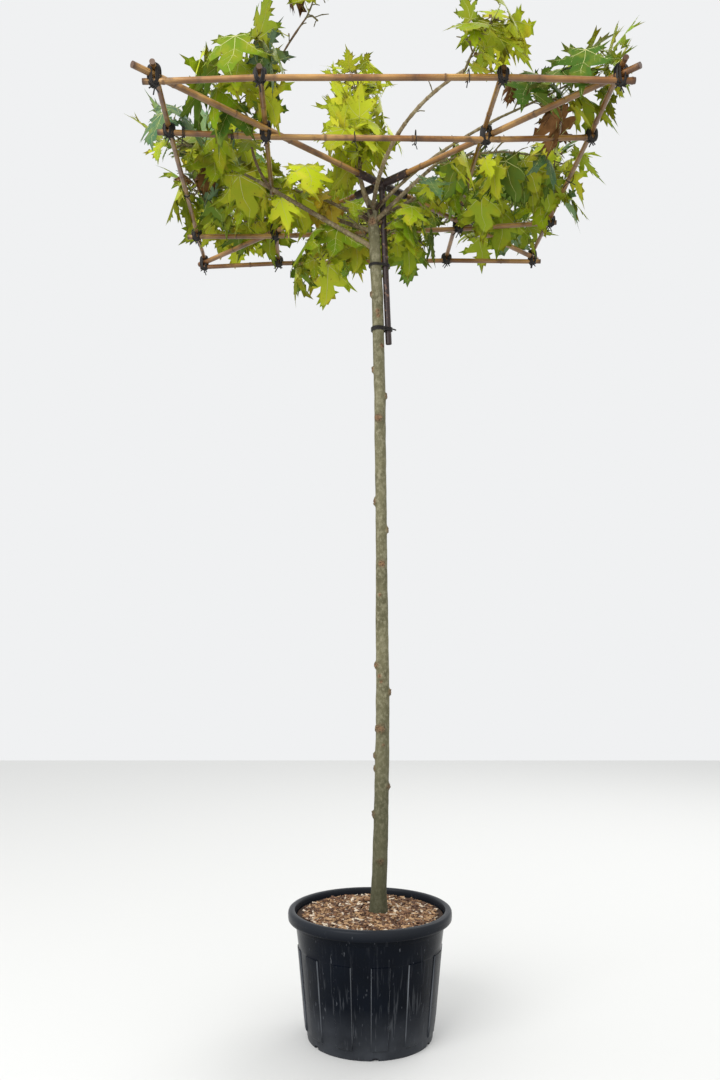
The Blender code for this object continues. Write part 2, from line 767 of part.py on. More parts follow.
class Guard:
    """What is already placed, and whose it is, so that a new twig or leaf can be kept clear of it."""

    def __init__(self):
        self.trees = []

    def add(self, shape, owner=None):
        points, faces = shape
        self.trees.append((owner, BVHTree.FromPolygons([tuple(p) for p in points], faces)))

    def touches(self, shape, owner=None):
        """Whether shape meets anything but what its owner has placed."""
        points, faces = shape
        tree = BVHTree.FromPolygons([tuple(p) for p in points], faces)
        return any(tree.overlap(other) for whose, other in self.trees if owner is None or whose != owner)


def leaf_shape(root, base, along, normal, length, thick):
    """A lobed blade, folded on its midrib and curled down, with its stalk back to the root, as a closed solid.

    The blade is thickest at its heart and thins out to the rim, which both sides share.
    """
    aside = along.cross(normal)
    half_stalk = STALK_WIDTH / 2 / length
    outline = [(-half_stalk, 0.0), (half_stalk, 0.0)] + list(LEAF_HALF) + [(0.0, 1.0)]
    outline += [(-across, ahead) for across, ahead in reversed(LEAF_HALF)]
    points = []
    for across, ahead in outline:
        sink = LEAF_FOLD * abs(across) + LEAF_CURL * ahead * ahead
        points.append(base + (aside * across + along * ahead - normal * sink) * length)
    heart = base + (along * LEAF_HEART - normal * LEAF_CURL * LEAF_HEART * LEAF_HEART) * length
    rim = len(points)
    upper, lower, under, left, right, keel = range(rim, rim + 3 + STALK_POINTS)
    points += [heart + normal * thick / 2, heart - normal * thick / 2, base - normal * STALK_WIDTH]
    points += [root - aside * STALK_ROOT / 2, root + aside * STALK_ROOT / 2, root - normal * STALK_ROOT]
    faces = [[upper, corner, (corner + 1) % rim] for corner in range(rim)]
    faces += [[lower, (corner + 1) % rim, corner] for corner in range(1, rim)]
    faces += [[lower, 1, under], [lower, under, 0], [0, left, right, 1], [1, right, keel, under],
              [under, keel, left, 0], [left, keel, right]]
    return points, faces


def near_line(point, line):
    """Distance from a point to a line of points."""
    nearest = math.inf
    for first, last in zip(line, line[1:]):
        along = last - first
        share = min(max((point - first).dot(along) / along.length_squared, 0.0), 1.0)
        nearest = min(nearest, (point - first - along * share).length)
    return nearest


def mass_line(name):
    """The points of a mass's own stem, from just clear of what carries it."""
    mass = MASSES[name]
    carrier = mass["on"]
    tip = Vector(mass["tip"])
    if not isinstance(carrier, str):
        return arc(stem_axis(carrier), tip, mass["bow"], MASS_RINGS)
    line = bough_points(carrier)
    ahead = (line[-1] - line[-2]).normalized()
    start = line[-1] + ahead * GAP
    return [start] + arc(start + ahead * MASS_COLLAR, tip, mass["bow"], MASS_RINGS - 1)


def stem_start_radius(name):
    carrier = MASSES[name]["on"]
    if isinstance(carrier, str):
        return BOUGHS[carrier]["radii"][1] * STEM_TO_TIP
    return STEM_TWIG_RADIUS[0]


def twig_lines(name, rng):
    """Side twigs, set alternately along the mass's own stem, each rising a little and then sagging."""
    mass = MASSES[name]
    line = mass_line(name)
    twigs = []
    for number in range(mass["twigs"]):
        share = TWIG_SPAN[0] + (TWIG_SPAN[1] - TWIG_SPAN[0]) * number / max(mass["twigs"] - 1, 1)
        place = share * (len(line) - 1)
        step = min(int(place), len(line) - 2)
        start = line[step].lerp(line[step + 1], place - step)
        ahead = (line[step + 1] - line[step]).normalized()
        aside = ahead.cross(Vector((0, 0, 1))).normalized() * (1 if number % 2 else -1)
        if abs(ahead.z) >= STEEP:
            aside = level_way(rng.uniform(0, math.tau))
        angle = math.radians(TWIG_ANGLE + rng.uniform(-TWIG_ANGLE_SPREAD, TWIG_ANGLE_SPREAD))
        way = ahead * math.cos(angle) + aside * math.sin(angle) + Vector((0, 0, rng.uniform(*TWIG_RISE)))
        reach = mass["reach"] * (1.0 - TWIG_SHORTENING * share) * rng.uniform(*TWIG_REACH_SPREAD)
        twigs.append(arc(start, start + way.normalized() * reach, TWIG_BOW, len(SIDE_TWIG_RADII)))
    return twigs


def leaf_places(name, twigs):
    """Where leaves sit, as (root, way): along and at the end of each twig, and of the mass's own stem."""
    places = []
    for line in twigs + [mass_line(name)]:
        ahead = (line[-1] - line[-2]).normalized()
        places.append((line[-1] - ahead * END_LEAF_INSET, ahead))
        for share, hand in LEAF_STEPS:
            place = share * (len(line) - 1)
            step = int(place)
            root = line[step].lerp(line[step + 1], place - step)
            aside = ahead.cross(Vector((0.05, 0.02, 1))).normalized() * hand
            places.append((root, (ahead * LEAF_FORWARD + aside).normalized()))
    return places


def leaf_frame(root, way, droop, length, rng):
    """Where the stalk starts, the blade's base, and the blade's midrib and normal."""
    turn = math.atan2(way.y, way.x)
    if Vector((way.x, way.y)).length < FLATTEST:
        turn = rng.uniform(0, math.tau)
    flat = level_way(turn + rng.uniform(-LEAF_SPIN, LEAF_SPIN))
    lean = math.radians(rng.uniform(*STALK_LEAN))
    stalk_way = flat * math.cos(lean) + Vector((0, 0, math.sin(lean)))
    base = root + stalk_way * length * STALK_SHARE
    start = root - stalk_way * STALK_SINK
    down = math.radians(droop + rng.uniform(-DROOP_SPREAD, DROOP_SPREAD))
    along = flat * math.cos(down) - Vector((0, 0, math.sin(down)))
    normal = flat * math.sin(down) + Vector((0, 0, math.cos(down)))
    roll = rng.uniform(-LEAF_ROLL, LEAF_ROLL)
    normal = (normal * math.cos(roll) + along.cross(normal) * math.sin(roll)).normalized()
    return start, base, along, normal


def stem_radii(name):
    return taper((stem_start_radius(name), STEM_TWIG_RADIUS[1]), MASS_RINGS)


def blade_of(leaf):
    """A leaf's shape without its stalk."""
    points, faces = leaf
    stalk = range(len(points) - STALK_POINTS, len(points))
    return points, [face for face in faces if not any(corner in stalk for corner in face)]


def grow(name, guard):
    """The twigs and leaves of a mass that keep to its space and touch nothing but what they grow from."""
    mass = MASSES[name]
    rng = random.Random(mass["seed"])
    line = mass_line(name)
    wood = Guard()
    wood.add(tube(line, stem_radii(name), MASS_SIDES))
    twigs = []
    for twig in twig_lines(name, rng):
        radii = [radius + CLEARANCE for radius in SIDE_TWIG_RADII]
        wide = tube(twig, radii, TWIG_SIDES)
        outer = tube(twig[1:], radii[1:], TWIG_SIDES)
        if not guard.touches(wide, name) and not wood.touches(outer):
            guard.add(wide, name)
            wood.add(wide)
            twigs.append(twig)
    blades = Guard()
    leaves = []
    for root, way in leaf_places(name, twigs):
        for _ in range(LEAF_TRIES):
            length = rng.uniform(*LEAF_LENGTH)
            leaf = leaf_frame(root, way, mass["droop"], length, rng)
            wide = leaf_shape(*leaf, length * LEAF_MARGIN, LEAF_THICK + CLEARANCE)
            far = max(near_line(point, line) for point in wide[0])
            if far > mass["space"] or guard.touches(wide, name):
                continue
            if blades.touches(wide) or wood.touches(blade_of(wide)):
                continue
            blades.add(wide)
            guard.add(wide, name)
            leaves.append((*leaf, length))
            break
    return twigs, leaves


def make_masses(finish, guard):
    for name in MASSES:
        wide = [radius + CLEARANCE / 2 for radius in stem_radii(name)]
        guard.add(tube(mass_line(name)[1:], wide[1:], MASS_SIDES), name)
    for name, mass in MASSES.items():
        twigs, leaves = grow(name, guard)
        foliage = solid(f"foliage_{name}", tube(mass_line(name), stem_radii(name), MASS_SIDES), finish)
        if not isinstance(mass["on"], str):
            cut(foliage, solid("cutter", stem_shape(GAP / math.cos(math.pi / STEM_SIDES), GAP), finish))
        pieces = []
        for twig in twigs:
            pieces.append(solid("twig", tube(twig, SIDE_TWIG_RADII, TWIG_SIDES), finish))
        for leaf in leaves:
            pieces.append(solid("leaf", leaf_shape(*leaf, LEAF_THICK), finish))
        fuse(foliage, pieces, "MANIFOLD")
        drop_scraps(foliage)


def main():
    clear_scene()
    black_plastic = material("black plastic", (0.018, 0.021, 0.028), 0.45)
    mulch = material("bark mulch", (0.28, 0.17, 0.09), 0.9)
    bark = material("plane bark", (0.20, 0.19, 0.11), 0.8)
    twig_bark = material("bough bark", (0.17, 0.15, 0.08), 0.75)
    bamboo = material("bamboo", (0.50, 0.29, 0.10), 0.5)
    steel = material("painted steel", (0.030, 0.012, 0.012), 0.5)
    tie_black = material("black tie", (0.012, 0.010, 0.010), 0.6)
    green = material("plane leaf", (0.20, 0.30, 0.03), 0.5)

    make_pot(black_plastic)
    make_soil(mulch)
    guard = Guard()
    guard.add(stem_shape(0.001))
    solid("trunk", stem_shape(), bark)
    hard = make_canes(bamboo) + make_arms(bamboo) + [make_bracket(steel)]
    hard += make_frame_ties(tie_black) + make_stem_ties(tie_black)
    hard += make_boughs(twig_bark)
    for piece in hard:
        mesh = piece.data
        guard.add(([v.co for v in mesh.vertices], [list(p.vertices) for p in mesh.polygons]))
    make_masses(green, guard)


main()
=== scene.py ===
"""A roof-trained London plane in a black nursery pot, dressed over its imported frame.

The sections follow the tree as a nursery puts it together: the pot and its mulch, the stem, the boughs,
the bamboo roof frame with its bracket and ties, and last the twigs and leaves. Metres, +Z up.
"""

import math
import random

import bmesh
import bpy
from mathutils import Matrix, Vector, noise
from mathutils.bvhtree import BVHTree
from mathutils.geometry import delaunay_2d_cdt


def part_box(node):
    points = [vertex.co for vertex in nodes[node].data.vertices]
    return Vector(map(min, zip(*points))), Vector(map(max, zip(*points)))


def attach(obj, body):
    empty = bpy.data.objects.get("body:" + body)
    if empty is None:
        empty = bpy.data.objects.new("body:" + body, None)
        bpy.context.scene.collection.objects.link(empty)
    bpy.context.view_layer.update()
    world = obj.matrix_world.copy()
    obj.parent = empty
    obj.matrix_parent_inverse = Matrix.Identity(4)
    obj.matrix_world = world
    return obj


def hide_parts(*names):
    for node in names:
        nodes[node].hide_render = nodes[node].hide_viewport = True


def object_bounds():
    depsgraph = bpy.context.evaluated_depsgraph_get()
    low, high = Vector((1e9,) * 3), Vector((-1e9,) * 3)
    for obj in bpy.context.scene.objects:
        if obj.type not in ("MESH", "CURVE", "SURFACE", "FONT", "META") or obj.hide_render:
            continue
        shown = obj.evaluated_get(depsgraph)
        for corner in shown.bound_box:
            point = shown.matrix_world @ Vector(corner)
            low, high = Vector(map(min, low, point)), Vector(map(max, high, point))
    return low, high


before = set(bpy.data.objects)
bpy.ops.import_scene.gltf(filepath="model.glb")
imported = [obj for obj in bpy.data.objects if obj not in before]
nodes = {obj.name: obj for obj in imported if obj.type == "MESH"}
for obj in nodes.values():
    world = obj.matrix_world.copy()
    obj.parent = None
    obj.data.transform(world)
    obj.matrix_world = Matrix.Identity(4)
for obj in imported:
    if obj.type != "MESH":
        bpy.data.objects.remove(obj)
cad_low, cad_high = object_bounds()

# Studio
# A pale seamless floor under an even white sky, with one large soft lamp in front and one behind.
# The camera stands three metres off at chest height and looks level at the stem.


def linear(colour):
    """A hex sRGB colour as linear red, green, blue and alpha."""
    parts = [int(colour[at:at + 2], 16) / 255 for at in (1, 3, 5)]
    return (*[c / 12.92 if c <= 0.04045 else ((c + 0.055) / 1.055) ** 2.4 for c in parts], 1.0)


def add(tree, kind, settings, feeds):
    """A node with its settings; each feed is a plain value or the socket that it comes from."""
    node = tree.nodes.new(kind)
    for name, value in settings.items():
        setattr(node, name, value)
    for place, feed in feeds.items():
        if isinstance(feed, bpy.types.NodeSocket):
            tree.links.new(feed, node.inputs[place])
        else:
            node.inputs[place].default_value = feed
    return node


# For each kind of shader node: the sockets its feeds go to, the socket of its result, and the setting that
# its choice sets. Where nothing is said the feeds go to the first sockets, and the first socket is the result.
FEED_PLACES = {
    "Mix": (0, 6, 7), "Mapping": ("Vector", "Scale", "Rotation"), "Bump": ("Height", "Strength", "Distance"),
    "TexNoise": ("Vector", "Scale", "Detail", "Roughness"), "TexVoronoi": ("Vector", "Scale"),
    "HueSaturation": ("Color", "Value")}
RESULTS = {"Mix": 2, "Attribute": "Fac", "NewGeometry": "Normal", "SeparateXYZ": 2}
CHOICES = {"Math": "operation", "Mix": "data_type", "Attribute": "attribute_name", "TexVoronoi": "feature"}


def weave(tree, results, steps):
    """Adds named steps to a tree. Each is a kind of node, with its choice after a space, and its feeds: plain
    values, hex colours, or the names of earlier results."""
    for label, (kind, *feeds) in steps.items():
        kind, _, choice = kind.partition(" ")
        sources = [linear(feed) if str(feed).startswith("#") else results.get(feed, feed) for feed in feeds]
        places = FEED_PLACES.get(kind, range(len(sources)))
        node = add(tree, f"ShaderNode{kind}", {CHOICES[kind]: choice} if choice else {}, dict(zip(places, sources)))
        results[label] = node.outputs[RESULTS.get(kind, 0)]


def new_material(name, values, steps=None):
    """A material from its shader's plain values and its steps, which start from "where", the place on the
    object. A step with the name of one of the shader's sockets feeds that socket."""
    made = bpy.data.materials.new(name)
    made.use_nodes = True
    tree = made.node_tree
    shader = tree.nodes["Principled BSDF"]
    for socket, value in values.items():
        shader.inputs[socket].default_value = linear(value) if isinstance(value, str) else value
    results = {"where": add(tree, "ShaderNodeTexCoord", {}, {}).outputs["Object"]}
    weave(tree, results, steps or {})
    for socket in ("Base Color", "Roughness", "Normal"):
        if socket in results:
            tree.links.new(results[socket], shader.inputs[socket])
    return made


def new_mesh(name, points, faces):
    """A smooth mesh of points and faces."""
    mesh = bpy.data.meshes.new(name)
    mesh.from_pydata([tuple(point) for point in points], [], faces)
    mesh.shade_smooth()
    return mesh


def new_object(name, data, home=None):
    """An object in the scene, or in the collection that is its home."""
    made = bpy.data.objects.new(name, data)
    (home or bpy.context.scene.collection).objects.link(made)
    return made


HALF_FLOOR = 7.0
CAMERA_PLACE = (-0.032, -3.08, 1.265)
CAMERA_LENS = 32
HORIZON_RISE = 100 / 1080

floor_corners = [(x * HALF_FLOOR, y * HALF_FLOOR, 0) for x, y in ((-1, -1), (1, -1), (1, 1), (-1, 1))]
floor_mesh = new_mesh("studio_floor", floor_corners, [(0, 1, 2, 3)])
floor = new_object("studio_floor", floor_mesh)
floor_paint = new_material("pale floor", {"Base Color": "#E2E2E0", "Roughness": 0.8})
floor_mesh.materials.append(floor_paint)

sky = bpy.data.worlds.new("white sky")
sky.use_nodes = True
sky.node_tree.nodes["Background"].inputs["Color"].default_value = linear("#F0F1F2")
sky.node_tree.nodes["Background"].inputs["Strength"].default_value = 1.0
bpy.context.scene.world = sky
bpy.context.scene.view_settings.view_transform = "Standard"

LAMP_AIM = Vector((0, 0, 1.8))
LAMPS = {"front lamp": ((-3.0, -4.2, 4.4), 4.0, 230), "back lamp": ((3.0, 3.4, 5.0), 4.0, 110)}
for lamp_name, (place, size, power) in LAMPS.items():
    light = bpy.data.lights.new(lamp_name, "AREA")
    light.size = size
    light.energy = power
    lamp = new_object(lamp_name, light)
    lamp.location = place
    lamp.rotation_euler = (LAMP_AIM - Vector(place)).to_track_quat("-Z", "Y").to_euler()

camera_data = bpy.data.cameras.new("camera")
camera_data.lens = CAMERA_LENS
camera_data.shift_y = HORIZON_RISE
camera = new_object("camera", camera_data)
camera.location = CAMERA_PLACE
camera.rotation_euler = (math.pi / 2, 0, 0)
bpy.context.scene.camera = camera

# Pot
# A 70 litre nursery tub in injection-moulded recycled polypropylene: a thick rolled rim, a thin step under
# it, a plain band, then narrow panels of which every other one stands proud. Drain notches open at the foot.
POT_BASE = 0.200
POT_SMOOTH = 32
POT_PANELS = 24
PANEL_STOPS = (0.0, 0.012, 0.030, 0.048, 0.075, 0.25, 0.45, 0.65, 0.85, 0.925, 0.952, 0.970, 0.988)
PANEL_EDGE = 0.048
PANEL_PROUD = 0.0046
PANEL_SPAN = (0.0345, 0.288)
UP = Vector((0, 0, 1))
NOTCHES = 6
NOTCH_WIDTH = 0.020
NOTCH_RISE = 0.010
NOTCH_DEPTH = 0.009
NOTCH_TURN = math.radians(4)
# Radius, height and how far the panels' relief shows there, from the foot up, over the rim and down inside
POT_PROFILE = (
    (0.1990, 0.0000, 0), (0.2000, 0.0012, 0), (0.2012, 0.0080, 0), (0.2020, 0.0160, 0), (0.2030, 0.0290, 0),
    (0.2032, 0.0305, 0.2), (0.2034, 0.0325, 0.9), (0.2040, 0.0345, 1), (0.2080, 0.0700, 1), (0.2120, 0.1150, 1),
    (0.2165, 0.1650, 1), (0.2210, 0.2150, 1), (0.2250, 0.2600, 1), (0.2276, 0.2870, 1), (0.2282, 0.2895, 0.8),
    (0.2288, 0.2910, 0.2), (0.2292, 0.2925, 0), (0.2305, 0.3040, 0), (0.2340, 0.3320, 0), (0.2366, 0.3535, 0),
    (0.2368, 0.3545, 0), (0.2394, 0.3556, 0), (0.2400, 0.3570, 0), (0.2408, 0.3715, 0), (0.2420, 0.3727, 0),
    (0.2545, 0.3732, 0), (0.2590, 0.3745, 0), (0.2613, 0.3775, 0), (0.2620, 0.3820, 0), (0.2620, 0.3945, 0),
    (0.2613, 0.4000, 0), (0.2595, 0.4043, 0), (0.2560, 0.4070, 0), (0.2510, 0.4079, 0), (0.2450, 0.4078, 0),
    (0.2412, 0.4060, 0), (0.2394, 0.4028, 0), (0.2388, 0.3980, 0), (0.2375, 0.3850, 0), (0.2345, 0.3700, 0),
    (0.1965, 0.0160, 0), (0.1900, 0.0140, 0))
POT_UNDER = ((0.1880, 0.0), (0.1860, 0.0030), (0.0600, 0.0030), (0.0560, 0.0))


def level_way(turn):
    """The level direction at a turn from the right, seen from above."""
    return Vector((math.cos(turn), math.sin(turn), 0))


def mark(mesh, label, values, kind="FLOAT"):
    """Gives every point of a mesh a value."""
    made = mesh.attributes.new(label, kind, "POINT")
    made.data.foreach_set("vector" if kind == "FLOAT_VECTOR" else "value", values)


def smooth_step(low, high, at):
    """Rises from 0 at low to 1 at high, level at both ends."""
    share = min(max((at - low) / (high - low), 0.0), 1.0)
    return share * share * (3 - 2 * share)


def panel_relief(panel, share):
    """How far a place across a panel stands proud, from 0 to 1. Every other panel does."""
    if panel % 2:
        return 0.0
    return smooth_step(0.0, PANEL_EDGE, share) * (1.0 - smooth_step(1.0 - PANEL_EDGE, 1.0, share))


def ring_faces(rings, sides):
    """The faces that join rings of corners in turn, with both ends closed."""
    faces = []
    for low in range(0, (rings - 1) * sides, sides):
        for corner in range(sides):
            after = (corner + 1) % sides
            faces.append((low + corner, low + after, low + sides + after, low + sides + corner))
    last = (rings - 1) * sides
    return faces + [tuple(reversed(range(sides))), tuple(range(last, last + sides))]


def ring_mesh(name, rings, smooth_angle=40):
    """A mesh through rings of equal count, each with its points in turn, closed at both ends."""
    mesh = new_mesh(name, [point for ring in rings for point in ring], ring_faces(len(rings), len(rings[0])))
    work = bmesh.new()
    work.from_mesh(mesh)
    bmesh.ops.recalc_face_normals(work, faces=work.faces)
    work.to_mesh(mesh)
    work.free()
    mesh.set_sharp_from_angle(angle=math.radians(smooth_angle))
    return mesh


def piece(name, mesh, finish, slot, *stands_for):
    """A finished piece: it rides with the tree and stands for the plain solids named."""
    mesh.materials.clear()
    mesh.materials.append(finish)
    made = new_object(name, mesh)
    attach(made, "root")
    if stands_for:
        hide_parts(*stands_for)
    return made


columns = []
for panel in range(POT_PANELS):
    for stop in PANEL_STOPS:
        turn = math.tau * (panel + stop) / POT_PANELS - math.pi / 2
        columns.append((level_way(turn), panel_relief(panel, stop)))
pot_rings = [[out * radius + UP * height for out, _ in columns] for radius, height in reversed(POT_UNDER)]
pot_rings += [[out * (radius + PANEL_PROUD * relief * shown) + UP * height for out, relief in columns]
              for radius, height, shown in POT_PROFILE]
pot_mesh = ring_mesh("pot_shell", pot_rings, POT_SMOOTH)
cutters = bmesh.new()
for notch in range(NOTCHES):
    turn = math.tau * notch / NOTCHES - math.pi / 2 + NOTCH_TURN
    place = Matrix.Rotation(turn, 4, "Z") @ Matrix.Translation((POT_BASE + NOTCH_DEPTH / 2, 0, 0))
    block = Matrix.Diagonal((NOTCH_DEPTH * 3, NOTCH_WIDTH, NOTCH_RISE * 2, 1))
    bmesh.ops.create_cube(cutters, size=1.0, matrix=place @ block)
upright = [edge for edge in cutters.edges if abs(edge.verts[0].co.z - edge.verts[1].co.z) < 0.001
           and edge.verts[0].co.z > 0 and edge.calc_length() > NOTCH_WIDTH]
bmesh.ops.bevel(cutters, geom=upright, offset=0.003, segments=2, affect="EDGES")
cutter_mesh = bpy.data.meshes.new("notches")
cutters.to_mesh(cutter_mesh)
cutters.free()
cutter = new_object("notches", cutter_mesh)
shell = new_object("pot_cut", pot_mesh)
notching = shell.modifiers.new("notches", "BOOLEAN")
notching.operation = "DIFFERENCE"
notching.object = cutter
bpy.context.view_layer.update()
pot_mesh = bpy.data.meshes.new_from_object(shell.evaluated_get(bpy.context.evaluated_depsgraph_get()))
bpy.data.objects.remove(shell)
bpy.data.objects.remove(cutter)
pot_mesh.set_sharp_from_angle(angle=math.radians(POT_SMOOTH))
# How strong each point's edge mark is: pale stress marks and painted highlight, strongest on the slopes of the proud
# panels
lit_worn_edges = []
for vert in pot_mesh.vertices:
    across = ((math.atan2(vert.co.y, vert.co.x) + math.pi / 2) % math.tau) / math.tau * POT_PANELS
    relief_there = panel_relief(int(across) % POT_PANELS, across % 1)
    on_panel = PANEL_SPAN[0] < vert.co.z < PANEL_SPAN[1] and math.hypot(vert.co.x, vert.co.y) > POT_BASE
    lit_worn_edges.append(4 * relief_there * (1 - relief_there) if on_panel else 0.0)
mark(pot_mesh, "worn", lit_worn_edges)

# Recycled polypropylene: near black with a blue cast, glossy, with dull vertical runs of dried dust,
# pale stress marks with a painted highlight along the panels' edges, and a painted sheen on the top of the rim
polypropylene = new_material("moulded polypropylene", {"IOR": 1.49, "Specular IOR Level": 0.08}, {
    "cloud": ("TexNoise", "where", 9.0, 6.0, 0.6),
    "plastic": ("Mix RGBA", "cloud", "#020409", "#0A111C"),
    "stretched": ("Mapping", "where", (120.0, 120.0, 4.0)),
    "streak": ("TexNoise", "stretched", 1.0, 6.0),
    "streak_mask": ("MapRange", "streak", 0.56, 0.86, 0.0, 0.9),
    "level": ("SeparateXYZ", "where"),
    "low_mask": ("MapRange", "level", 0.34, 0.03, 0.06, 0.60),
    "run": ("Math MULTIPLY", "streak_mask", "low_mask"),
    "haze_mask": ("MapRange", "level", 0.16, 0.0, 0.0, 0.30),
    "haze": ("Math MULTIPLY", "haze_mask", "cloud"),
    "dust": ("Math MAXIMUM", "run", "haze"),
    "scuffed": ("Mapping", "where", (130.0, 130.0, 40.0)),
    "scuff": ("TexNoise", "scuffed", 1.0, 3.0),
    "scuff_mask": ("MapRange", "scuff", 0.67, 0.76, 0.0, 0.30),
    # Pale stress marks and painted highlight along the panels' edges, broken up by the streaks
    "worn": ("Attribute worn",),
    "worn_mask": ("MapRange", "worn", 0.0, 1.0, 0.0, 1.1),
    "rubbed": ("Math MULTIPLY", "worn_mask", "streak"),
    # Painted sheen: the top of the rim is paled towards grey-blue, and the same mask also roughens it
    "rim_film": ("MapRange", "level", 0.374, 0.404, 0.0, 0.075),
    "settled": ("Math MAXIMUM", "dust", "rim_film"),
    "film": ("Math MAXIMUM", "settled", "scuff_mask"),
    # marked holds the dust, scuffs and stress marks together with the painted highlight on the edges and the painted
    # sheen on the rim
    "marked": ("Math MAXIMUM", "film", "rubbed"),
    "Base Color": ("Mix RGBA", "marked", "plastic", "#8A8E94"),
    "Roughness": ("MapRange", "film", 0.0, 0.6, 0.24, 0.70),
    "grain": ("TexNoise", "where", 420.0, 2.0),
    "Normal": ("Bump", "grain", 0.10, 0.001)})
piece("pot_shell", pot_mesh, polypropylene, "pot_plastic", "pot")

# Bark mulch
# A bed of dark compost, a finger's width under the rim, with chipped bark strewn over it: mostly brown
# and red-brown pieces, some tan, and a few pale ones of bare wood. Nothing fixes them.
BED_RADIUS = 0.2335
CHIP_BED_RADIUS = 0.2150
BED_LEVEL = 0.3868
BED_CROWN = 0.0050
BED_RINGS = 20
BED_TURNS = 72
CHIP_KINDS = ((0.021, 0.0070, 0.0035), (0.015, 0.0085, 0.0030), (0.011, 0.0065, 0.0035), (0.018, 0.0045, 0.0028),
              (0.009, 0.0075, 0.0038))


def bed_height(x, y):
    """The mulch's own surface: low at the wall, a little higher round the stem, and uneven all over."""
    out = math.hypot(x, y) / BED_RADIUS
    return BED_LEVEL + BED_CROWN * (1 - out * out) + 0.0020 * noise.noise(Vector((x * 38, y * 38, 0.7)))


def bed_mesh(name, radius):
    """The mulch's surface out to a radius."""
    points = [(0.0, 0.0, bed_height(0.0, 0.0))]
    for ring in range(1, BED_RINGS + 1):
        for turn in range(BED_TURNS):
            angle = math.tau * turn / BED_TURNS
            x, y = (radius * ring / BED_RINGS * way for way in (math.cos(angle), math.sin(angle)))
            points.append((x, y, bed_height(x, y)))
    faces = [(0, 1 + turn, 1 + (turn + 1) % BED_TURNS) for turn in range(BED_TURNS)]
    for ring in range(BED_RINGS - 1):
        low = 1 + ring * BED_TURNS
        for turn in range(BED_TURNS):
            after = (turn + 1) % BED_TURNS
            faces.append((low + turn, low + BED_TURNS + turn, low + BED_TURNS + after, low + after))
    return new_mesh(name, points, faces)


def chip_mesh(name, size, seed):
    """One splinter of bark: a flat block with torn ends and uneven faces."""
    rng = random.Random(seed)
    work = bmesh.new()
    bmesh.ops.create_cube(work, size=1.0, matrix=Matrix.Diagonal((*size, 1)))
    long_edges = [edge for edge in work.edges if abs(edge.verts[0].co.x - edge.verts[1].co.x) > size[0] / 2]
    bmesh.ops.subdivide_edges(work, edges=long_edges, cuts=2)
    for vert in work.verts:
        torn = 0.22 if abs(vert.co.x) > size[0] * 0.4 else 0.10
        vert.co.x += rng.uniform(-torn, torn) * size[0]
        vert.co.y += rng.uniform(-0.16, 0.16) * size[1]
        vert.co.z += rng.uniform(-0.22, 0.22) * size[2] + vert.co.x * vert.co.x * 2.5
    mesh = bpy.data.meshes.new(name)
    work.to_mesh(mesh)
    work.free()
    return mesh


chip_kinds = bpy.data.collections.new("chip kinds")
for number, size in enumerate(CHIP_KINDS):
    new_object(f"chip_{number}", chip_mesh(f"chip_{number}", size, 30 + number), chip_kinds)


def new_tree(name, sockets):
    """An empty Geometry Nodes tree with named inputs, and those inputs' sockets by name."""
    tree = bpy.data.node_groups.new(name, "GeometryNodeTree")
    for label, kind in sockets.items():
        tree.interface.new_socket(label, in_out="INPUT", socket_type=f"NodeSocket{kind}")
    tree.interface.new_socket("Made", in_out="OUTPUT", socket_type="NodeSocketGeometry")
    return tree, dict(add(tree, "NodeGroupInput", {}, {}).outputs.items())


def finish_tree(tree, shape, finish):
    """Ends a tree: its instances are realized and take the finish."""
    real = add(tree, "GeometryNodeRealizeInstances", {}, {0: shape})
    painted = add(tree, "GeometryNodeSetMaterial", {}, {"Geometry": real.outputs[0], "Material": finish})
    add(tree, "NodeGroupOutput", {}, {0: painted.outputs[0]})


def grown(name, source, tree, inputs):
    """The plain mesh that a tree makes of the source object, which is then removed."""
    step = source.modifiers.new("made", "NODES")
    step.node_group = tree
    sockets = {item.name: item.identifier for item in tree.interface.items_tree if item.in_out == "INPUT"}
    for label, value in inputs.items():
        step[sockets[label]] = value
    bpy.context.view_layer.update()
    mesh = bpy.data.meshes.new_from_object(source.evaluated_get(bpy.context.evaluated_depsgraph_get()))
    mesh.name = name
    bpy.data.objects.remove(source)
    return mesh


strew, given = new_tree("Chips strewn on a bed", {
    "Bed": "Geometry", "Chips per square metre": "Float", "Seed": "Int", "Kinds": "Collection", "Finish": "Material"})
spots = add(strew, "GeometryNodeDistributePointsOnFaces", {},
            {"Mesh": given["Bed"], "Density": given["Chips per square metre"], "Seed": given["Seed"]})
lift = add(strew, "FunctionNodeRandomValue", {"data_type": "FLOAT_VECTOR"},
           {0: (0.0, 0.0, 0.0005), 1: (0.0, 0.0, 0.0050), "Seed": given["Seed"]})
raised = add(strew, "GeometryNodeSetPosition", {}, {"Geometry": spots.outputs[0], "Offset": lift.outputs[0]})
tumble = add(strew, "FunctionNodeRandomValue", {"data_type": "FLOAT_VECTOR"},
             {0: (-0.42, -0.36, 0.0), 1: (0.42, 0.36, math.tau), "Seed": given["Seed"]})
size_spread = add(strew, "FunctionNodeRandomValue", {"data_type": "FLOAT"},
                  {2: 0.60, 3: 1.25, "Seed": given["Seed"]})
kinds = add(strew, "GeometryNodeCollectionInfo", {}, {0: given["Kinds"], 1: True, 2: True})
turned = add(strew, "FunctionNodeEulerToRotation", {}, {0: tumble.outputs[0]})
placed = add(strew, "GeometryNodeInstanceOnPoints", {},
             {"Points": raised.outputs[0], "Instance": kinds.outputs[0], "Pick Instance": True,
              "Rotation": turned.outputs[0], "Scale": size_spread.outputs[1]})
finish_tree(strew, placed.outputs[0], given["Finish"])

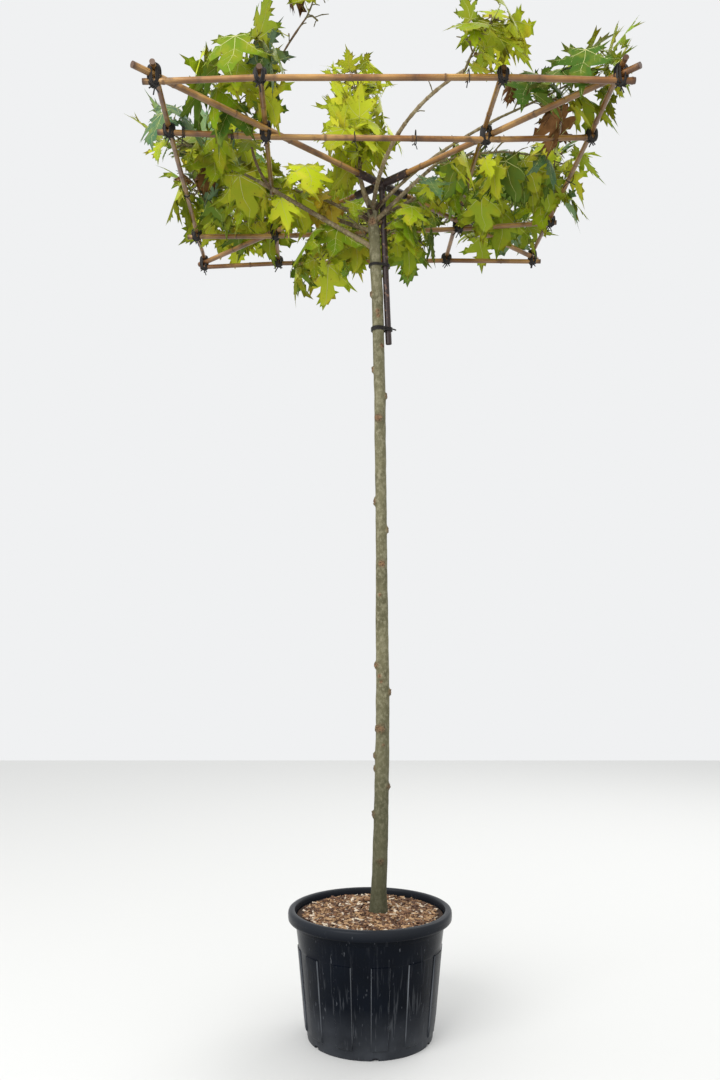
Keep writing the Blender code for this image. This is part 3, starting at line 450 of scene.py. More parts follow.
compost = new_material("dark compost", {"Roughness": 0.95}, {
    "crumb": ("TexNoise", "where", 160.0, 5.0),
    "Base Color": ("Mix RGBA", "crumb", "#1B120C", "#4A3322"),
    "Normal": ("Bump", "crumb", 0.8, 0.003)})
piece("mulch_bed", bed_mesh("mulch_bed", BED_RADIUS), compost, "bark_mulch", "soil")

# Conifer bark splits along its grain, so each chip has streaks a millimetre or two apart
CHIP_FINISHES = {
    "brown": ("#33231A", "#6A4A36", 5600, 3),
    "red_brown": ("#5E3C28", "#9A7350", 4600, 5),
    "tan": ("#97754F", "#C8A47C", 4600, 8),
    "pale": ("#C4AE92", "#EDE2CE", 1900, 13),
}
for label, (dark, light, density, seed) in CHIP_FINISHES.items():
    bark = new_material(f"{label.replace('_', ' ')} bark chip", {"Roughness": 0.85}, {
        "streaks": ("TexNoise", "where", 240.0, 3.0),
        "Base Color": ("Mix RGBA", "streaks", dark, light),
        "Normal": ("Bump", "streaks", 0.5, 0.001)})
    bed = new_object("chip bed", bed_mesh("chip bed", CHIP_BED_RADIUS))
    chips = grown(f"chips_{label}", bed, strew, {
        "Chips per square metre": float(density), "Seed": seed, "Kinds": chip_kinds, "Finish": bark})
    piece(f"chips_{label}", chips, bark, "bark_mulch")

# Stem
# One straight young trunk with smooth grey-green bark, flared a little at the mulch. Side shoots were
# pruned off as it grew, and each left a round scar with a raised lip, browner than the bark round it.
STEM_SIDES = 48
STEM_STEP = 0.004
FLARE = 0.0060
FLARE_HEIGHT = 0.030
# Height, turn from the front in degrees (positive to the right), size and how far it stands out
SCARS = (
    (2.600, -12, 0.020, 0.0034), (2.372, -72, 0.012, 0.0046), (2.315, -6, 0.011, 0.0010), (2.300, 2, 0.011, 0.0010),
    (2.204, 30, 0.010, 0.0034), (2.131, -74, 0.012, 0.0046), (2.046, 70, 0.011, 0.0042), (1.974, -16, 0.016, 0.0060),
    (1.708, -76, 0.014, 0.0050), (1.618, 78, 0.012, 0.0044), (1.508, 4, 0.015, 0.0046), (1.410, -20, 0.008, 0.0012),
    (1.185, -64, 0.014, 0.0048), (1.150, -30, 0.010, 0.0016), (1.132, -18, 0.008, -0.0030), (1.099, 74, 0.013, 0.0050),
    (0.983, -22, 0.018, 0.0062), (0.930, 8, 0.007, 0.0018), (0.894, -78, 0.012, 0.0044), (0.854, -76, 0.011, 0.0040),
    (0.797, 60, 0.013, 0.0040), (0.707, -74, 0.014, 0.0048), (0.560, 4, 0.014, 0.0036), (2.250, 165, 0.012, 0.0040),
    (1.900, 150, 0.011, 0.0038), (1.420, -160, 0.013, 0.0044), (1.050, 172, 0.012, 0.0040), (0.760, 140, 0.010, 0.0034))


def corners_of(node):
    """The places of a solid's corners."""
    return [vert.co.copy() for vert in nodes[node].data.vertices]


def mean(points):
    return sum(points, Vector()) / len(points)


def centre_line(node, axis, count):
    """The middle line of a round solid that runs along an axis, read off the edges that cross each station."""
    spots = corners_of(node)
    low, high = (pick(spot[axis] for spot in spots) for pick in (min, max))
    line = []
    for step in range(1, count):
        at = low + (high - low) * step / count
        crossing = []
        for edge in nodes[node].data.edges:
            first, last = (spots[corner] for corner in edge.vertices)
            if (first[axis] - at) * (last[axis] - at) < 0:
                crossing.append(first.lerp(last, (at - first[axis]) / (last[axis] - first[axis])))
        line.append(mean(crossing))
    ends = [mean([spot for spot in spots if abs(spot[axis] - end) < 0.012]) for end in (low, high)]
    return [ends[0]] + line + [ends[1]], low, high


def on_line(line, at):
    """The point of a line at a height, by straight runs."""
    for low, high in zip(line, line[1:]):
        if at <= high.z:
            break
    return low.lerp(high, (at - low.z) / (high.z - low.z))


stem_line, stem_foot, stem_top = centre_line("trunk", 2, 60)
stem_spots = corners_of("trunk")


def stem_radius(height):
    """The stem's radius at a height, read off the solid's nearest corners."""
    nearest = sorted(stem_spots, key=lambda spot: abs(spot.z - height))[:24]
    return sum((spot - on_line(stem_line, spot.z)).length for spot in nearest) / len(nearest)


stem_stops = [stem_foot + (stem_top - stem_foot) * step / 40 for step in range(41)]
stem_sizes = [stem_radius(stop) for stop in stem_stops]


def stem_size(height):
    place = min(max((height - stem_foot) / (stem_top - stem_foot) * 40, 0.0), 39.999)
    low = int(place)
    return stem_sizes[low] + (stem_sizes[low + 1] - stem_sizes[low]) * (place - low)


def scar_lift(height, turn):
    """How far pruning scars push the bark out there, and how brown they make it."""
    push, brown = 0.0, 0.0
    for at, side, size, out in SCARS:
        if abs(height - at) > size * 2.2:
            continue
        around = (turn - math.radians(side) + math.pi) % math.tau - math.pi
        away = math.hypot(height - at, around * 0.019) / size
        torn = noise.noise(Vector((height * 260, around * 5.0, size * 900)))
        lip = math.exp(-((away - 0.55 - 0.2 * torn) / 0.34) ** 2)
        push += out * (lip + 0.55 * math.exp(-away * away * 2.2)) * (1 + 0.7 * torn)
        brown = max(brown, math.exp(-(away / (0.70 + 0.35 * torn)) ** 4))
    return push, brown


def bark_wobble(spot):
    """The slow unevenness of young bark, about a millimetre over a few centimetres."""
    return 0.0009 * noise.noise(spot * 28) + 0.00035 * noise.noise(Vector((spot.x * 130, spot.y * 130, spot.z * 45)))


stem_rings = []
stem_brown = []
stem_count = int((stem_top - stem_foot) / STEM_STEP)
for step in range(stem_count + 1):
    height = stem_foot + (stem_top - stem_foot) * step / stem_count
    centre = on_line(stem_line, height)
    centre.z = height
    size = stem_size(height) + FLARE * math.exp(-(height - stem_foot) / FLARE_HEIGHT) * 0.6
    ring = []
    for corner in range(STEM_SIDES):
        turn = math.tau * corner / STEM_SIDES
        out = Vector((math.sin(turn), -math.cos(turn), 0))
        push, brown = scar_lift(height, turn)
        spot = centre + out * size
        ring.append(spot + out * (push + bark_wobble(spot)))
        stem_brown.append(brown)
    stem_rings.append(ring)
stem_mesh = ring_mesh("stem", stem_rings, 60)
mark(stem_mesh, "scar", stem_brown)


def bark_material(name, dark, middle, light, scar, patch_scale):
    """Young plane bark: smooth, grey-green in soft patches, with small pores, darker and greener towards the
    ground, and a darker band at the head, where the boughs leave it."""
    return new_material(name, {"Roughness": 0.72, "Specular IOR Level": 0.25}, {
        "patch_place": ("Mapping", "where", (1.0, 1.0, 0.55)),
        "patches": ("TexNoise", "patch_place", patch_scale, 8.0, 0.70),
        "wide": ("MapRange", "patches", 0.36, 0.62),
        "base": ("Mix RGBA", "wide", dark, middle),
        "grey_place": ("Mapping", "where", (1.0, 1.0, 0.75)),
        "greys": ("TexNoise", "grey_place", patch_scale * 5.0, 5.0, 0.65),
        "bloom": ("MapRange", "greys", 0.46, 0.66, 0.0, 0.80),
        "greyed": ("Mix RGBA", "bloom", "base", light),
        "pore_place": ("Mapping", "where", (150.0, 150.0, 420.0)),
        "pores": ("TexVoronoi", "pore_place", 1.0),
        "pore_mask": ("MapRange", "pores", 0.16, 0.28, 0.55, 0.0),
        "pored": ("Mix RGBA", "pore_mask", "greyed", scar),
        "scars": ("Attribute scar",),
        "torn": ("TexNoise", "where", 210.0, 4.0),
        "torn_mask": ("MapRange", "torn", 0.40, 0.60),
        "wound": ("Mix RGBA", "torn_mask", scar, "#8E7052"),
        "marked": ("Mix RGBA", "scars", "pored", "wound"),
        "level": ("SeparateXYZ", "where"),
        # Darker and greener towards the ground, from about 1.15 m down
        "foot_mask": ("MapRange", "level", 0.40, 1.15, 0.78, 0.0),
        "grown_over": ("Mix RGBA", "foot_mask", "marked", "#3C3E2B"),
        "head_rise": ("MapRange", "level", 2.590, 2.632, 0.0, 0.85),
        "head_fall": ("MapRange", "level", 2.652, 2.700, 1.0, 0.0),
        "head": ("Math MULTIPLY", "head_rise", "head_fall"),
        "head_mask": ("Math MULTIPLY", "head", "wide"),
        "Base Color": ("Mix RGBA", "head_mask", "grown_over", "#33241A"),
        "fine": ("TexNoise", "where", 330.0, 3.0),
        "roughened": ("Math ADD", "fine", "pore_mask"),
        "Normal": ("Bump", "roughened", 0.35, 0.0012)})


stem_bark = bark_material("young plane bark", "#57543C", "#736F53", "#938E74", "#4C3322", 18.0)
piece("stem", stem_mesh, stem_bark, "stem_bark", "trunk")

# Boughs
# The stem was stopped at the head of the frame and its shoots led out over the canes. Each is one tapering
# limb with a collar where it leaves the wood below, and a slight swelling at every joint of its growth.
# What each bough leaves (the stem at a height, or a bough at a share of its length), its tip, how its middle is
# drawn aside, its first and last radius, and for one how its start is drawn aside
BOUGHS = {name: dict(zip(("from", "tip", "bow", "radii", "lead"), row)) for name, *row in (
    ("left", 2.520, (-0.350, -0.062, 2.706), (-0.005, 0.022, 0.012), (0.0085, 0.0055)),
    ("upright", 2.640, (-0.034, -0.004, 2.800), (-0.012, 0.000, 0.000), (0.0100, 0.0045)),
    ("front_right", 2.640, (0.238, -0.586, 2.744), (-0.046, -0.012, 0.034), (0.0070, 0.0042)),
    ("right", 2.600, (0.205, -0.112, 2.738), (0.004, -0.010, 0.004), (0.0075, 0.0048)),
    ("right_front", 2.635, (0.370, -0.292, 2.780), (-0.025, 0.078, 0.046), (0.0062, 0.0040),
     (0.050, -0.055, 0.025)),
    ("side_right", 2.610, (0.190, 0.062, 2.735), (0.000, 0.012, 0.004), (0.0070, 0.0045)),
    ("back_right", 2.565, (0.190, 0.245, 2.760), (-0.020, 0.020, 0.006), (0.0070, 0.0045)),
    ("back", 2.600, (-0.020, 0.300, 2.757), (0.010, 0.000, 0.006), (0.0070, 0.0045)),
    ("back_left", 2.575, (-0.235, 0.205, 2.760), (0.000, 0.020, 0.002), (0.0075, 0.0048)),
    ("side_left", 2.607, (-0.185, 0.062, 2.725), (0.000, 0.012, 0.004), (0.0065, 0.0045)),
    ("front_left", ("left", 0.90), (-0.350, -0.285, 2.765), (-0.020, 0.000, 0.000), (0.0045, 0.0036)),
    ("tall_left", ("front_left", 0.84), (-0.186, -0.368, 3.020), (-0.024, -0.010, -0.010), (0.0034, 0.0026)))}
BOUGH_RINGS = 6
STEM_LEAN = ((2.360, 0.024), (stem_top, 0.008))
LIMB_SIDES = 14
LIMB_STEP = 0.005
COLLAR_LENGTH = 0.016
JOINT_SPACING = 0.042
YOUNG_RADIUS = 0.005
# Stubs of pruned shoots at the stem's head: height, turn and how far each stands out
STUBS = ((2.618, -1.9, 0.030), (2.600, -2.7, 0.024), (2.632, -0.9, 0.034), (2.585, -0.5, 0.020), (2.625, 2.2, 0.028))
STUB_RADII = (0.0052, 0.0040)
STUB_RINGS = 8


def stem_axis(height):
    """The stem's own axis near its head, where the boughs and low shoots leave it."""
    (low, first), (high, last) = STEM_LEAN
    return Vector((first + (last - first) * smooth_step(low, high, height), 0, height))


def arc(start, tip, bow, count, lead=None):
    """Points along a bent line, whose middle is drawn aside by bow and whose start by lead."""
    bend = (start + tip) / 2 + Vector(bow) * 2
    steps = [step / (count - 1) for step in range(count)]
    if lead is None:
        return [start * (1 - t) ** 2 + bend * 2 * t * (1 - t) + tip * t * t for t in steps]
    first = start + Vector(lead)
    return [start * (1 - t) ** 3 + first * 3 * t * (1 - t) ** 2 + bend * 3 * t * t * (1 - t) + tip * t ** 3
            for t in steps]


def part_way(line, share):
    """The point at a share of a line's runs, and the way the line goes there."""
    place = share * (len(line) - 1)
    step = min(int(place), len(line) - 2)
    return line[step].lerp(line[step + 1], place - step), (line[step + 1] - line[step]).normalized()


def bough_points(name, count=BOUGH_RINGS):
    """The points of a bough's line, from what it leaves to its tip."""
    bough = BOUGHS[name]
    origin = bough["from"]
    if isinstance(origin, tuple):
        start, _ = part_way(bough_points(origin[0]), origin[1])
    else:
        start = stem_axis(origin)
    return arc(start, Vector(bough["tip"]), bough["bow"], count, bough.get("lead"))


def rings_along(points, sizes, sides, top):
    """Rings of (spot, way out) round a line's points, each turned as little as can be from the one before."""
    rings = []
    for index, (point, size) in enumerate(zip(points, sizes)):
        ahead = (points[min(index + 1, len(points) - 1)] - points[max(index - 1, 0)]).normalized()
        top = (top - ahead * top.dot(ahead)).normalized()
        aside = ahead.cross(top)
        turns = [math.tau * corner / sides for corner in range(sides)]
        outs = [top * math.cos(turn) + aside * math.sin(turn) for turn in turns]
        rings.append([(point + out * size, out) for out in outs])
    return rings


def limb_mesh(name, points, radii, collar, seed):
    """A limb through the points, with a collar at its start, swollen joints and uneven bark."""
    sizes, browns = [], []
    gone = 0.0
    for index, point in enumerate(points):
        if index:
            gone += (point - points[index - 1]).length
        share = index / (len(points) - 1)
        from_joint = abs((gone + seed * 0.013) % JOINT_SPACING - JOINT_SPACING / 2)
        swell = 0.16 * math.exp(-(from_joint / 0.0042) ** 2)
        flare = collar * math.exp(-gone / COLLAR_LENGTH)
        sizes.append((radii[0] + (radii[1] - radii[0]) * share)
                     * (1 + swell * smooth_step(0.02, 0.08, gone) + flare))
        browns += [min(swell * 3.2, 0.5)] * LIMB_SIDES
    rings = [[spot + out * bark_wobble(spot) * 0.7 for spot, out in ring]
             for ring in rings_along(points, sizes, LIMB_SIDES, Vector((0.3, 0.9, 0.3)))]
    mesh = ring_mesh(name, rings, 60)
    mark(mesh, "scar", browns)
    return mesh


def join_meshes(name, meshes):
    """Several meshes as one."""
    work = bmesh.new()
    for mesh in meshes:
        work.from_mesh(mesh)
    joined = bpy.data.meshes.new(name)
    work.to_mesh(joined)
    work.free()
    joined.shade_smooth()
    joined.set_sharp_from_angle(angle=math.radians(40))
    return joined


bough_bark = bark_material("bough bark", "#635638", "#887A5A", "#ADA184", "#4C3622", 26.0)
shoot_bark = bark_material("young shoot bark", "#3C2C1E", "#5C4A34", "#7A6B50", "#2A1C13", 40.0)
for number, (name, bough) in enumerate(BOUGHS.items()):
    rough = bough_points(name, 40)
    length = sum((last - first).length for first, last in zip(rough, rough[1:]))
    points = bough_points(name, max(int(length / LIMB_STEP), 8))
    limb = limb_mesh(f"limb_{name}", points, bough["radii"], 0.35, number)
    finish = bough_bark if bough["radii"][0] > YOUNG_RADIUS else shoot_bark
    piece(f"limb_{name}", limb, finish, "bough_bark", f"bough_{name}")

# The stem's head also keeps the short dead ends of shoots that were pruned away
dead_bark = bark_material("dead bark", "#2A1D14", "#3D2C1F", "#5A4836", "#1E140E", 40.0)
stubs = []
for number, (height, turn, reach) in enumerate(STUBS):
    out = Vector((math.cos(turn), math.sin(turn), 0.55)).normalized()
    start = stem_axis(height) + out * stem_size(height) * 0.5
    end = start + out * (stem_size(height) * 0.5 + reach)
    line = [start.lerp(end, step / (STUB_RINGS - 1)) for step in range(STUB_RINGS)]
    stubs.append(limb_mesh(f"stub_{number}", line, STUB_RADII, 0.3, number))
piece("pruned_stubs", join_meshes("pruned_stubs", stubs), dead_bark, "bough_bark")

# Bamboo canes
# Tonkin canes, four each way and four on the diagonals, which plug into the bracket. Each has a ring
# at every joint of the stalk, fine lengthwise fibres, scorched patches and a sawn end that has gone dark.
CANE_SIDES = 14
CANE_STEP = 0.004
CANE_INTERNODE = 0.215
CANE_RING = 0.0032
CANE_SWELL = 0.17
FRAME_CANES = {f"{kind}_cane_{number}": axis for number in range(1, 5) for kind, axis in (("cross", 0), ("long", 1))}
# Corners of a diagonal cane that are nearer to its end than this belong to that end
ARM_NEAR = 0.1
ARM_CANES = ("arm_cane_front_left", "arm_cane_front_right", "arm_cane_back_right", "arm_cane_back_left")


def path_object(name, lines):
    """A curve with one straight-run spline for each line of (point, radius)."""
    data = bpy.data.curves.new(name, "CURVE")
    data.dimensions = "3D"
    for line in lines:
        spline = data.splines.new("POLY")
        spline.points.add(len(line) - 1)
        for place, (point, radius) in zip(spline.points, line):
            place.co = (*point, 1.0)
            place.radius = radius
    return new_object(name, data)


bar, given = new_tree("Round bar on a path", {
    "Path": "Geometry", "Step": "Float", "Sides": "Int", "Joint spacing": "Float", "Joint length": "Float",
    "Joint swell": "Float", "Phase": "Float", "Finish": "Material"})
sampled = add(bar, "GeometryNodeResampleCurve", {"mode": "LENGTH"}, {"Curve": given["Path"], "Length": given["Step"]})
given["along"] = add(bar, "GeometryNodeSplineParameter", {}, {}).outputs["Length"]
given["whole"] = add(bar, "GeometryNodeSplineLength", {}, {}).outputs["Length"]
given["own radius"] = add(bar, "GeometryNodeInputRadius", {}, {}).outputs[0]
weave(bar, given, {
    "shifted": ("Math ADD", "along", "Phase"),
    "half": ("Math MULTIPLY", "Joint spacing", 0.5),
    "away": ("Math PINGPONG", "shifted", "half"),
    "scaled": ("Math DIVIDE", "away", "Joint length"),
    "squared": ("Math MULTIPLY", "scaled", "scaled"),
    "minus": ("Math MULTIPLY", "squared", -1.0),
    "near a joint": ("Math EXPONENT", "minus"),
    "swell": ("Math MULTIPLY_ADD", "near a joint", "Joint swell", 1.0),
    "radius": ("Math MULTIPLY", "own radius", "swell"),
    "rest": ("Math SUBTRACT", "whole", "along"),
    "from an end": ("Math MINIMUM", "along", "rest")})
kept_at = {"data_type": "FLOAT", "domain": "POINT"}
with_joint = add(bar, "GeometryNodeStoreNamedAttribute", kept_at,
                 {"Geometry": sampled.outputs[0], "Name": "joint", "Value": given["near a joint"]})
with_end = add(bar, "GeometryNodeStoreNamedAttribute", kept_at,
               {"Geometry": with_joint.outputs[0], "Name": "from_end", "Value": given["from an end"]})
round_profile = add(bar, "GeometryNodeCurvePrimitiveCircle", {"mode": "RADIUS"},
                    {"Resolution": given["Sides"], "Radius": 1.0})
skin = add(bar, "GeometryNodeCurveToMesh", {},
           {"Curve": with_end.outputs[0], "Profile Curve": round_profile.outputs[0], "Scale": given["radius"],
            "Fill Caps": True})
finish_tree(bar, skin.outputs[0], given["Finish"])


def bars(name, lines, finish, step, sides, spacing=1.0, joint=0.001, swelling=0.0, phase=0.0):
    """Round bars along lines of (point, radius), as one plain mesh."""
    mesh = grown(name, path_object(name, lines), bar, {
        "Step": step, "Sides": sides, "Joint spacing": spacing, "Joint length": joint, "Joint swell": swelling,
        "Phase": phase, "Finish": finish})
    mesh.shade_smooth()
    mesh.set_sharp_from_angle(angle=math.radians(50))
    return mesh


def bamboo_material(name, grain_scale, grain_turn):
    """Tonkin cane: straw and ochre under a thin natural wax, dark at each ring, with painted shade on its underside."""
    return new_material(name, {
        "Roughness": 0.38, "Specular IOR Level": 0.5, "Coat Weight": 0.25, "Coat Roughness": 0.28}, {
        "grain_place": ("Mapping", "where", (1.0, 1.0, 1.0), (0, 0, grain_turn)),
        "drawn": ("Mapping", "grain_place", grain_scale),
        "fibres": ("TexNoise", "drawn", 1.0, 4.0),
        "clouds": ("TexNoise", "where", 7.0, 4.0),
        "tint": ("MapRange", "clouds", 0.38, 0.64),
        "straw": ("Mix RGBA", "tint", "#96622A", "#DEAC62"),
        "fibre_mask": ("MapRange", "fibres", 0.42, 0.68, 0.0, 0.62),
        "fibred": ("Mix RGBA", "fibre_mask", "straw", "#5C3A18"),
        "scorch": ("TexNoise", "where", 23.0, 6.0),
        "scorch_mask": ("MapRange", "scorch", 0.52, 0.70, 0.0, 0.80),
        "joints": ("Attribute joint",),
        "banded": ("Math MULTIPLY", "joints", 0.80),
        "ends": ("Attribute from_end",),
        "end_mask": ("MapRange", "ends", 0.002, 0.016, 0.92, 0.0),
        "first": ("Math MAXIMUM", "scorch_mask", "banded"),
        "dark": ("Math MAXIMUM", "first", "end_mask"),
        "marked": ("Mix RGBA", "dark", "fibred", "#4A2F1C"),
        # Painted shade: the faces that turn downward are darkened towards a deep brown
        "facing": ("NewGeometry",),
        "downward": ("SeparateXYZ", "facing"),
        "damp_mask": ("MapRange", "downward", -0.80, 0.10, 0.66, 0.0),
        "Base Color": ("Mix RGBA", "damp_mask", "marked", "#3E2410"),
        "Normal": ("Bump", "fibres", 0.18, 0.0006)})


# Fibres a millimetre apart across the cane, drawn out along it
bamboo_across = bamboo_material("bamboo across", (9.0, 700.0, 700.0), 0.0)
bamboo_long = bamboo_material("bamboo lengthways", (700.0, 9.0, 700.0), 0.0)
bamboo_arms = {1: bamboo_material("bamboo diagonal", (9.0, 700.0, 700.0), math.radians(-45)),
               -1: bamboo_material("bamboo counter diagonal", (9.0, 700.0, 700.0), math.radians(45))}


def cane_radius(node, axis):
    """A cane's radius: half of its corner-to-corner width at one end."""
    spots = corners_of(node)
    low = min(spot[axis] for spot in spots)
    ring = [spot for spot in spots if spot[axis] - low < 0.014]
    middle = mean(ring)
    return max((spot - middle).length for spot in ring)


def cane_line(node):
    """A straight cane's two ends, from the corners of the solid's two halves."""
    spots = sorted(corners_of(node), key=lambda spot: spot.x)
    half_count = len(spots) // 2
    return mean(spots[:half_count]), mean(spots[half_count:])


cane_rng = random.Random(5)
for node, axis in FRAME_CANES.items():
    line, _, _ = centre_line(node, axis, 90)
    size = cane_radius(node, axis)
    thinning = cane_rng.uniform(0.03, 0.09) * cane_rng.choice((-1, 1))
    cane = [(point, size * (1 + thinning * (index / len(line) - 0.5))) for index, point in enumerate(line)]
    finish = bamboo_across if axis == 0 else bamboo_long
    mesh = bars(f"bamboo_{node}", [cane], finish, CANE_STEP, CANE_SIDES, CANE_INTERNODE * cane_rng.uniform(0.85, 1.2),
                CANE_RING, CANE_SWELL, cane_rng.uniform(0.0, 0.2))
    piece(f"bamboo_{node}", mesh, finish, "bamboo", node)

arm_ends = {}
for node in ARM_CANES:
    left_end, right_end = cane_line(node)
    arm_ends[node] = (left_end, right_end)
    away = [(spot - left_end).length for spot in corners_of(node)]
    size = max(reach for reach in away if reach < ARM_NEAR)
    slope = 1 if (right_end.y > left_end.y) == (right_end.x > left_end.x) else -1
    mesh = bars(f"bamboo_{node}", [[(left_end, size), (right_end, size * 0.97)]], bamboo_arms[slope], CANE_STEP,
                CANE_SIDES, CANE_INTERNODE * cane_rng.uniform(0.9, 1.1), CANE_RING, CANE_SWELL,
                cane_rng.uniform(0.05, 0.2))
    piece(f"bamboo_{node}", mesh, bamboo_arms[slope], "bamboo", node)

# Bracket
# A welded mild-steel cross, painted dark brown: four tube sockets that take the diagonal canes, on a round
# hub over a post that runs down beside the stem. The paint is rubbed through along the edges.
SOCKET_OUTER = 0.0125
SOCKET_INNER = 0.0102
SOCKET_REACH = 0.110
HUB_OUTER = 0.0160
HUB_HOLE = 0.004
HUB_HALF_HEIGHT = 0.017
WELD_RADIUS = 0.0022
POST_OUTER = 0.0100
POST_INNER = 0.0078
STEEL_SIDES = 28
SCREW_RADIUS = 0.0032


def pipe_rings(start, end, outer, inner, deep):
    """Rings of an open-ended tube: down its outside, round the lip at its far end, and back inside."""
    ahead = (end - start).normalized()
    top = UP if abs(ahead.z) < 0.9 else Vector((0, 1, 0))
    top = (top - ahead * top.dot(ahead)).normalized()
    aside = ahead.cross(top)
    turns = [math.tau * corner / STEEL_SIDES for corner in range(STEEL_SIDES)]
    lip = (outer - inner) / 3
    stations = [(start, outer), (end - ahead * lip, outer), (end, outer - lip), (end, inner + lip * 0.5),
                (end - ahead * lip, inner), (end - ahead * deep, inner)]
    return [[point + (top * math.cos(turn) + aside * math.sin(turn)) * size for turn in turns]
            for point, size in stations]


bracket_low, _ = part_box("bracket")
post_foot = mean([spot for spot in corners_of("bracket") if spot.z < bracket_low.z + 0.01])
arms_middle = mean([mean(pair) for pair in arm_ends.values()])
inner_ends = [min(ends, key=lambda spot: (spot - arms_middle).length) for ends in arm_ends.values()]
hub = mean(inner_ends)
steel_parts = []
for (left_end, right_end), inner in zip(arm_ends.values(), inner_ends):
    outer = right_end if inner == left_end else left_end
    ahead = (outer - inner).normalized()
    reach = SOCKET_REACH - (inner - hub).length
    steel_parts.append(ring_mesh("socket", pipe_rings(hub + ahead * 0.002, inner + ahead * reach, SOCKET_OUTER,
                                                      SOCKET_INNER, 0.03)))
    side = ahead.cross(UP).normalized()
    head = inner + ahead * (reach - 0.022)
    for hand in (-1, 1):
        screw = pipe_rings(head, head + side * hand * (SOCKET_OUTER + 0.0028), SCREW_RADIUS, SCREW_RADIUS * 0.45, 0.001)
        steel_parts.append(ring_mesh("screw", screw))
half_hub = UP * HUB_HALF_HEIGHT
steel_parts.append(ring_mesh("hub", pipe_rings(hub - half_hub, hub + half_hub, HUB_OUTER, HUB_HOLE, 0.002)))
steel_parts.append(ring_mesh("post", pipe_rings(hub, post_foot, POST_OUTER, POST_INNER, 0.03)))
bead_ring = [hub + level_way(math.tau * step / 24) * (POST_OUTER + 0.001) - UP * 0.018 for step in range(25)]

painted_steel = new_material("painted mild steel", {"Roughness": 0.5, "Specular IOR Level": 0.5}, {
    "cloud": ("TexNoise", "where", 26.0, 5.0),
    "paint": ("Mix RGBA", "cloud", "#171010", "#3A2624"),
    "chips": ("TexNoise", "where", 95.0, 4.0),
    "chip_mask": ("MapRange", "chips", 0.61, 0.67, 0.0, 0.8),
    "Base Color": ("Mix RGBA", "chip_mask", "paint", "#7A5A48"),
    "Normal": ("Bump", "chips", 0.25, 0.0006)})
bead = bars("weld", [[(point, WELD_RADIUS) for point in bead_ring]], painted_steel, 0.002, 8, 0.004, 0.0012, 0.2)
piece("bracket_steel", join_meshes("bracket_steel", steel_parts + [bead]), painted_steel, "painted_steel", "bracket")

# Ties
# Soft black tying tube, wound two or three times round each crossing and twisted off, so that every tie
# ends in two short tails. The same tube holds the boughs to the canes and the post to the stem.
TIE_RADIUS = 0.0019
THIN_TIE_RADIUS = TIE_RADIUS * 0.75
TIE_PITCH = 0.0037
TIE_STEPS = 26
TIE_TIGHT = 0.0142
TAIL_LENGTH = 0.024
BELT_RADIUS = 0.0022
BELT_PITCH = 0.0042
BELT_STEPS = 48
# The share of each lap that goes round the stem; the rest goes round the post
STEM_SHARE = 0.58
# What each bough is tied to: the cane, how far along it, and how wide and tall the loop is
BOUGH_TIES = (("cross_cane_2", -0.536, 0.012, 0.013), ("cross_cane_2", -0.398, 0.011, 0.011),
              ("cross_cane_2", -0.048, 0.010, 0.012), ("cross_cane_2", 0.128, 0.012, 0.018),
              ("cross_cane_1", 0.248, 0.011, 0.014), ("long_cane_1", 0.060, 0.011, 0.014),
              ("long_cane_4", -0.020, 0.012, 0.016), ("cross_cane_3", -0.010, 0.011, 0.013),
              ("long_cane_2", 0.150, 0.010, 0.013), ("long_cane_3", 0.160, 0.010, 0.013))

soft_tube = new_material("black tying tube", {"Roughness": 0.55, "Specular IOR Level": 0.4}, {
    "rubbed": ("TexNoise", "where", 210.0, 3.0),
    "Base Color": ("Mix RGBA", "rubbed", "#0E0C0C", "#2C2724"),
    "Normal": ("Bump", "rubbed", 0.2, 0.0005)})


def squared_turn(angle):
    """Cosine and sine of an angle, squared off so that a winding hugs what it goes round."""
    return [math.copysign(abs(value) ** 0.62, value) for value in (math.cos(angle), math.sin(angle))]


def winding(centre, across, rise, side_half, rise_half, turns, rng):
    """A tie's path: turns round a crossing, each a diameter further along, then two twisted tails."""
    ahead = across.cross(rise).normalized()
    line = []
    loose = [rng.uniform(0.0, 0.0016) for _ in range(turns + 1)]
    slide = [rng.uniform(-0.0012, 0.0012) for _ in range(turns + 1)]
    for step in range(turns * TIE_STEPS + 1):
        done = step / TIE_STEPS
        lap = int(done)
        share = done - lap
        out = loose[lap] + (loose[min(lap + 1, turns)] - loose[lap]) * share
        aside = slide[lap] + (slide[min(lap + 1, turns)] - slide[lap]) * share
        wide, high = squared_turn(math.tau * done - math.pi / 2)
        shift = (done - turns / 2) * TIE_PITCH + aside
        line.append(centre + across * wide * (side_half + out) + rise * high * (rise_half + out) + ahead * shift)
    knot = line[0].lerp(centre - rise * rise_half, 0.5)
    tails = []
    for hand in (-1, 1):
        way = (across * hand * 0.8 - rise * rng.uniform(0.3, 1.0) + ahead * rng.uniform(-0.6, 0.6)).normalized()
        reach = TAIL_LENGTH * rng.uniform(0.4, 1.0)
        bend = Vector((0, 0, -reach * 0.2))
        tails.append([knot, knot + way * reach * 0.5, knot + way * reach + bend])
    return [line] + tails


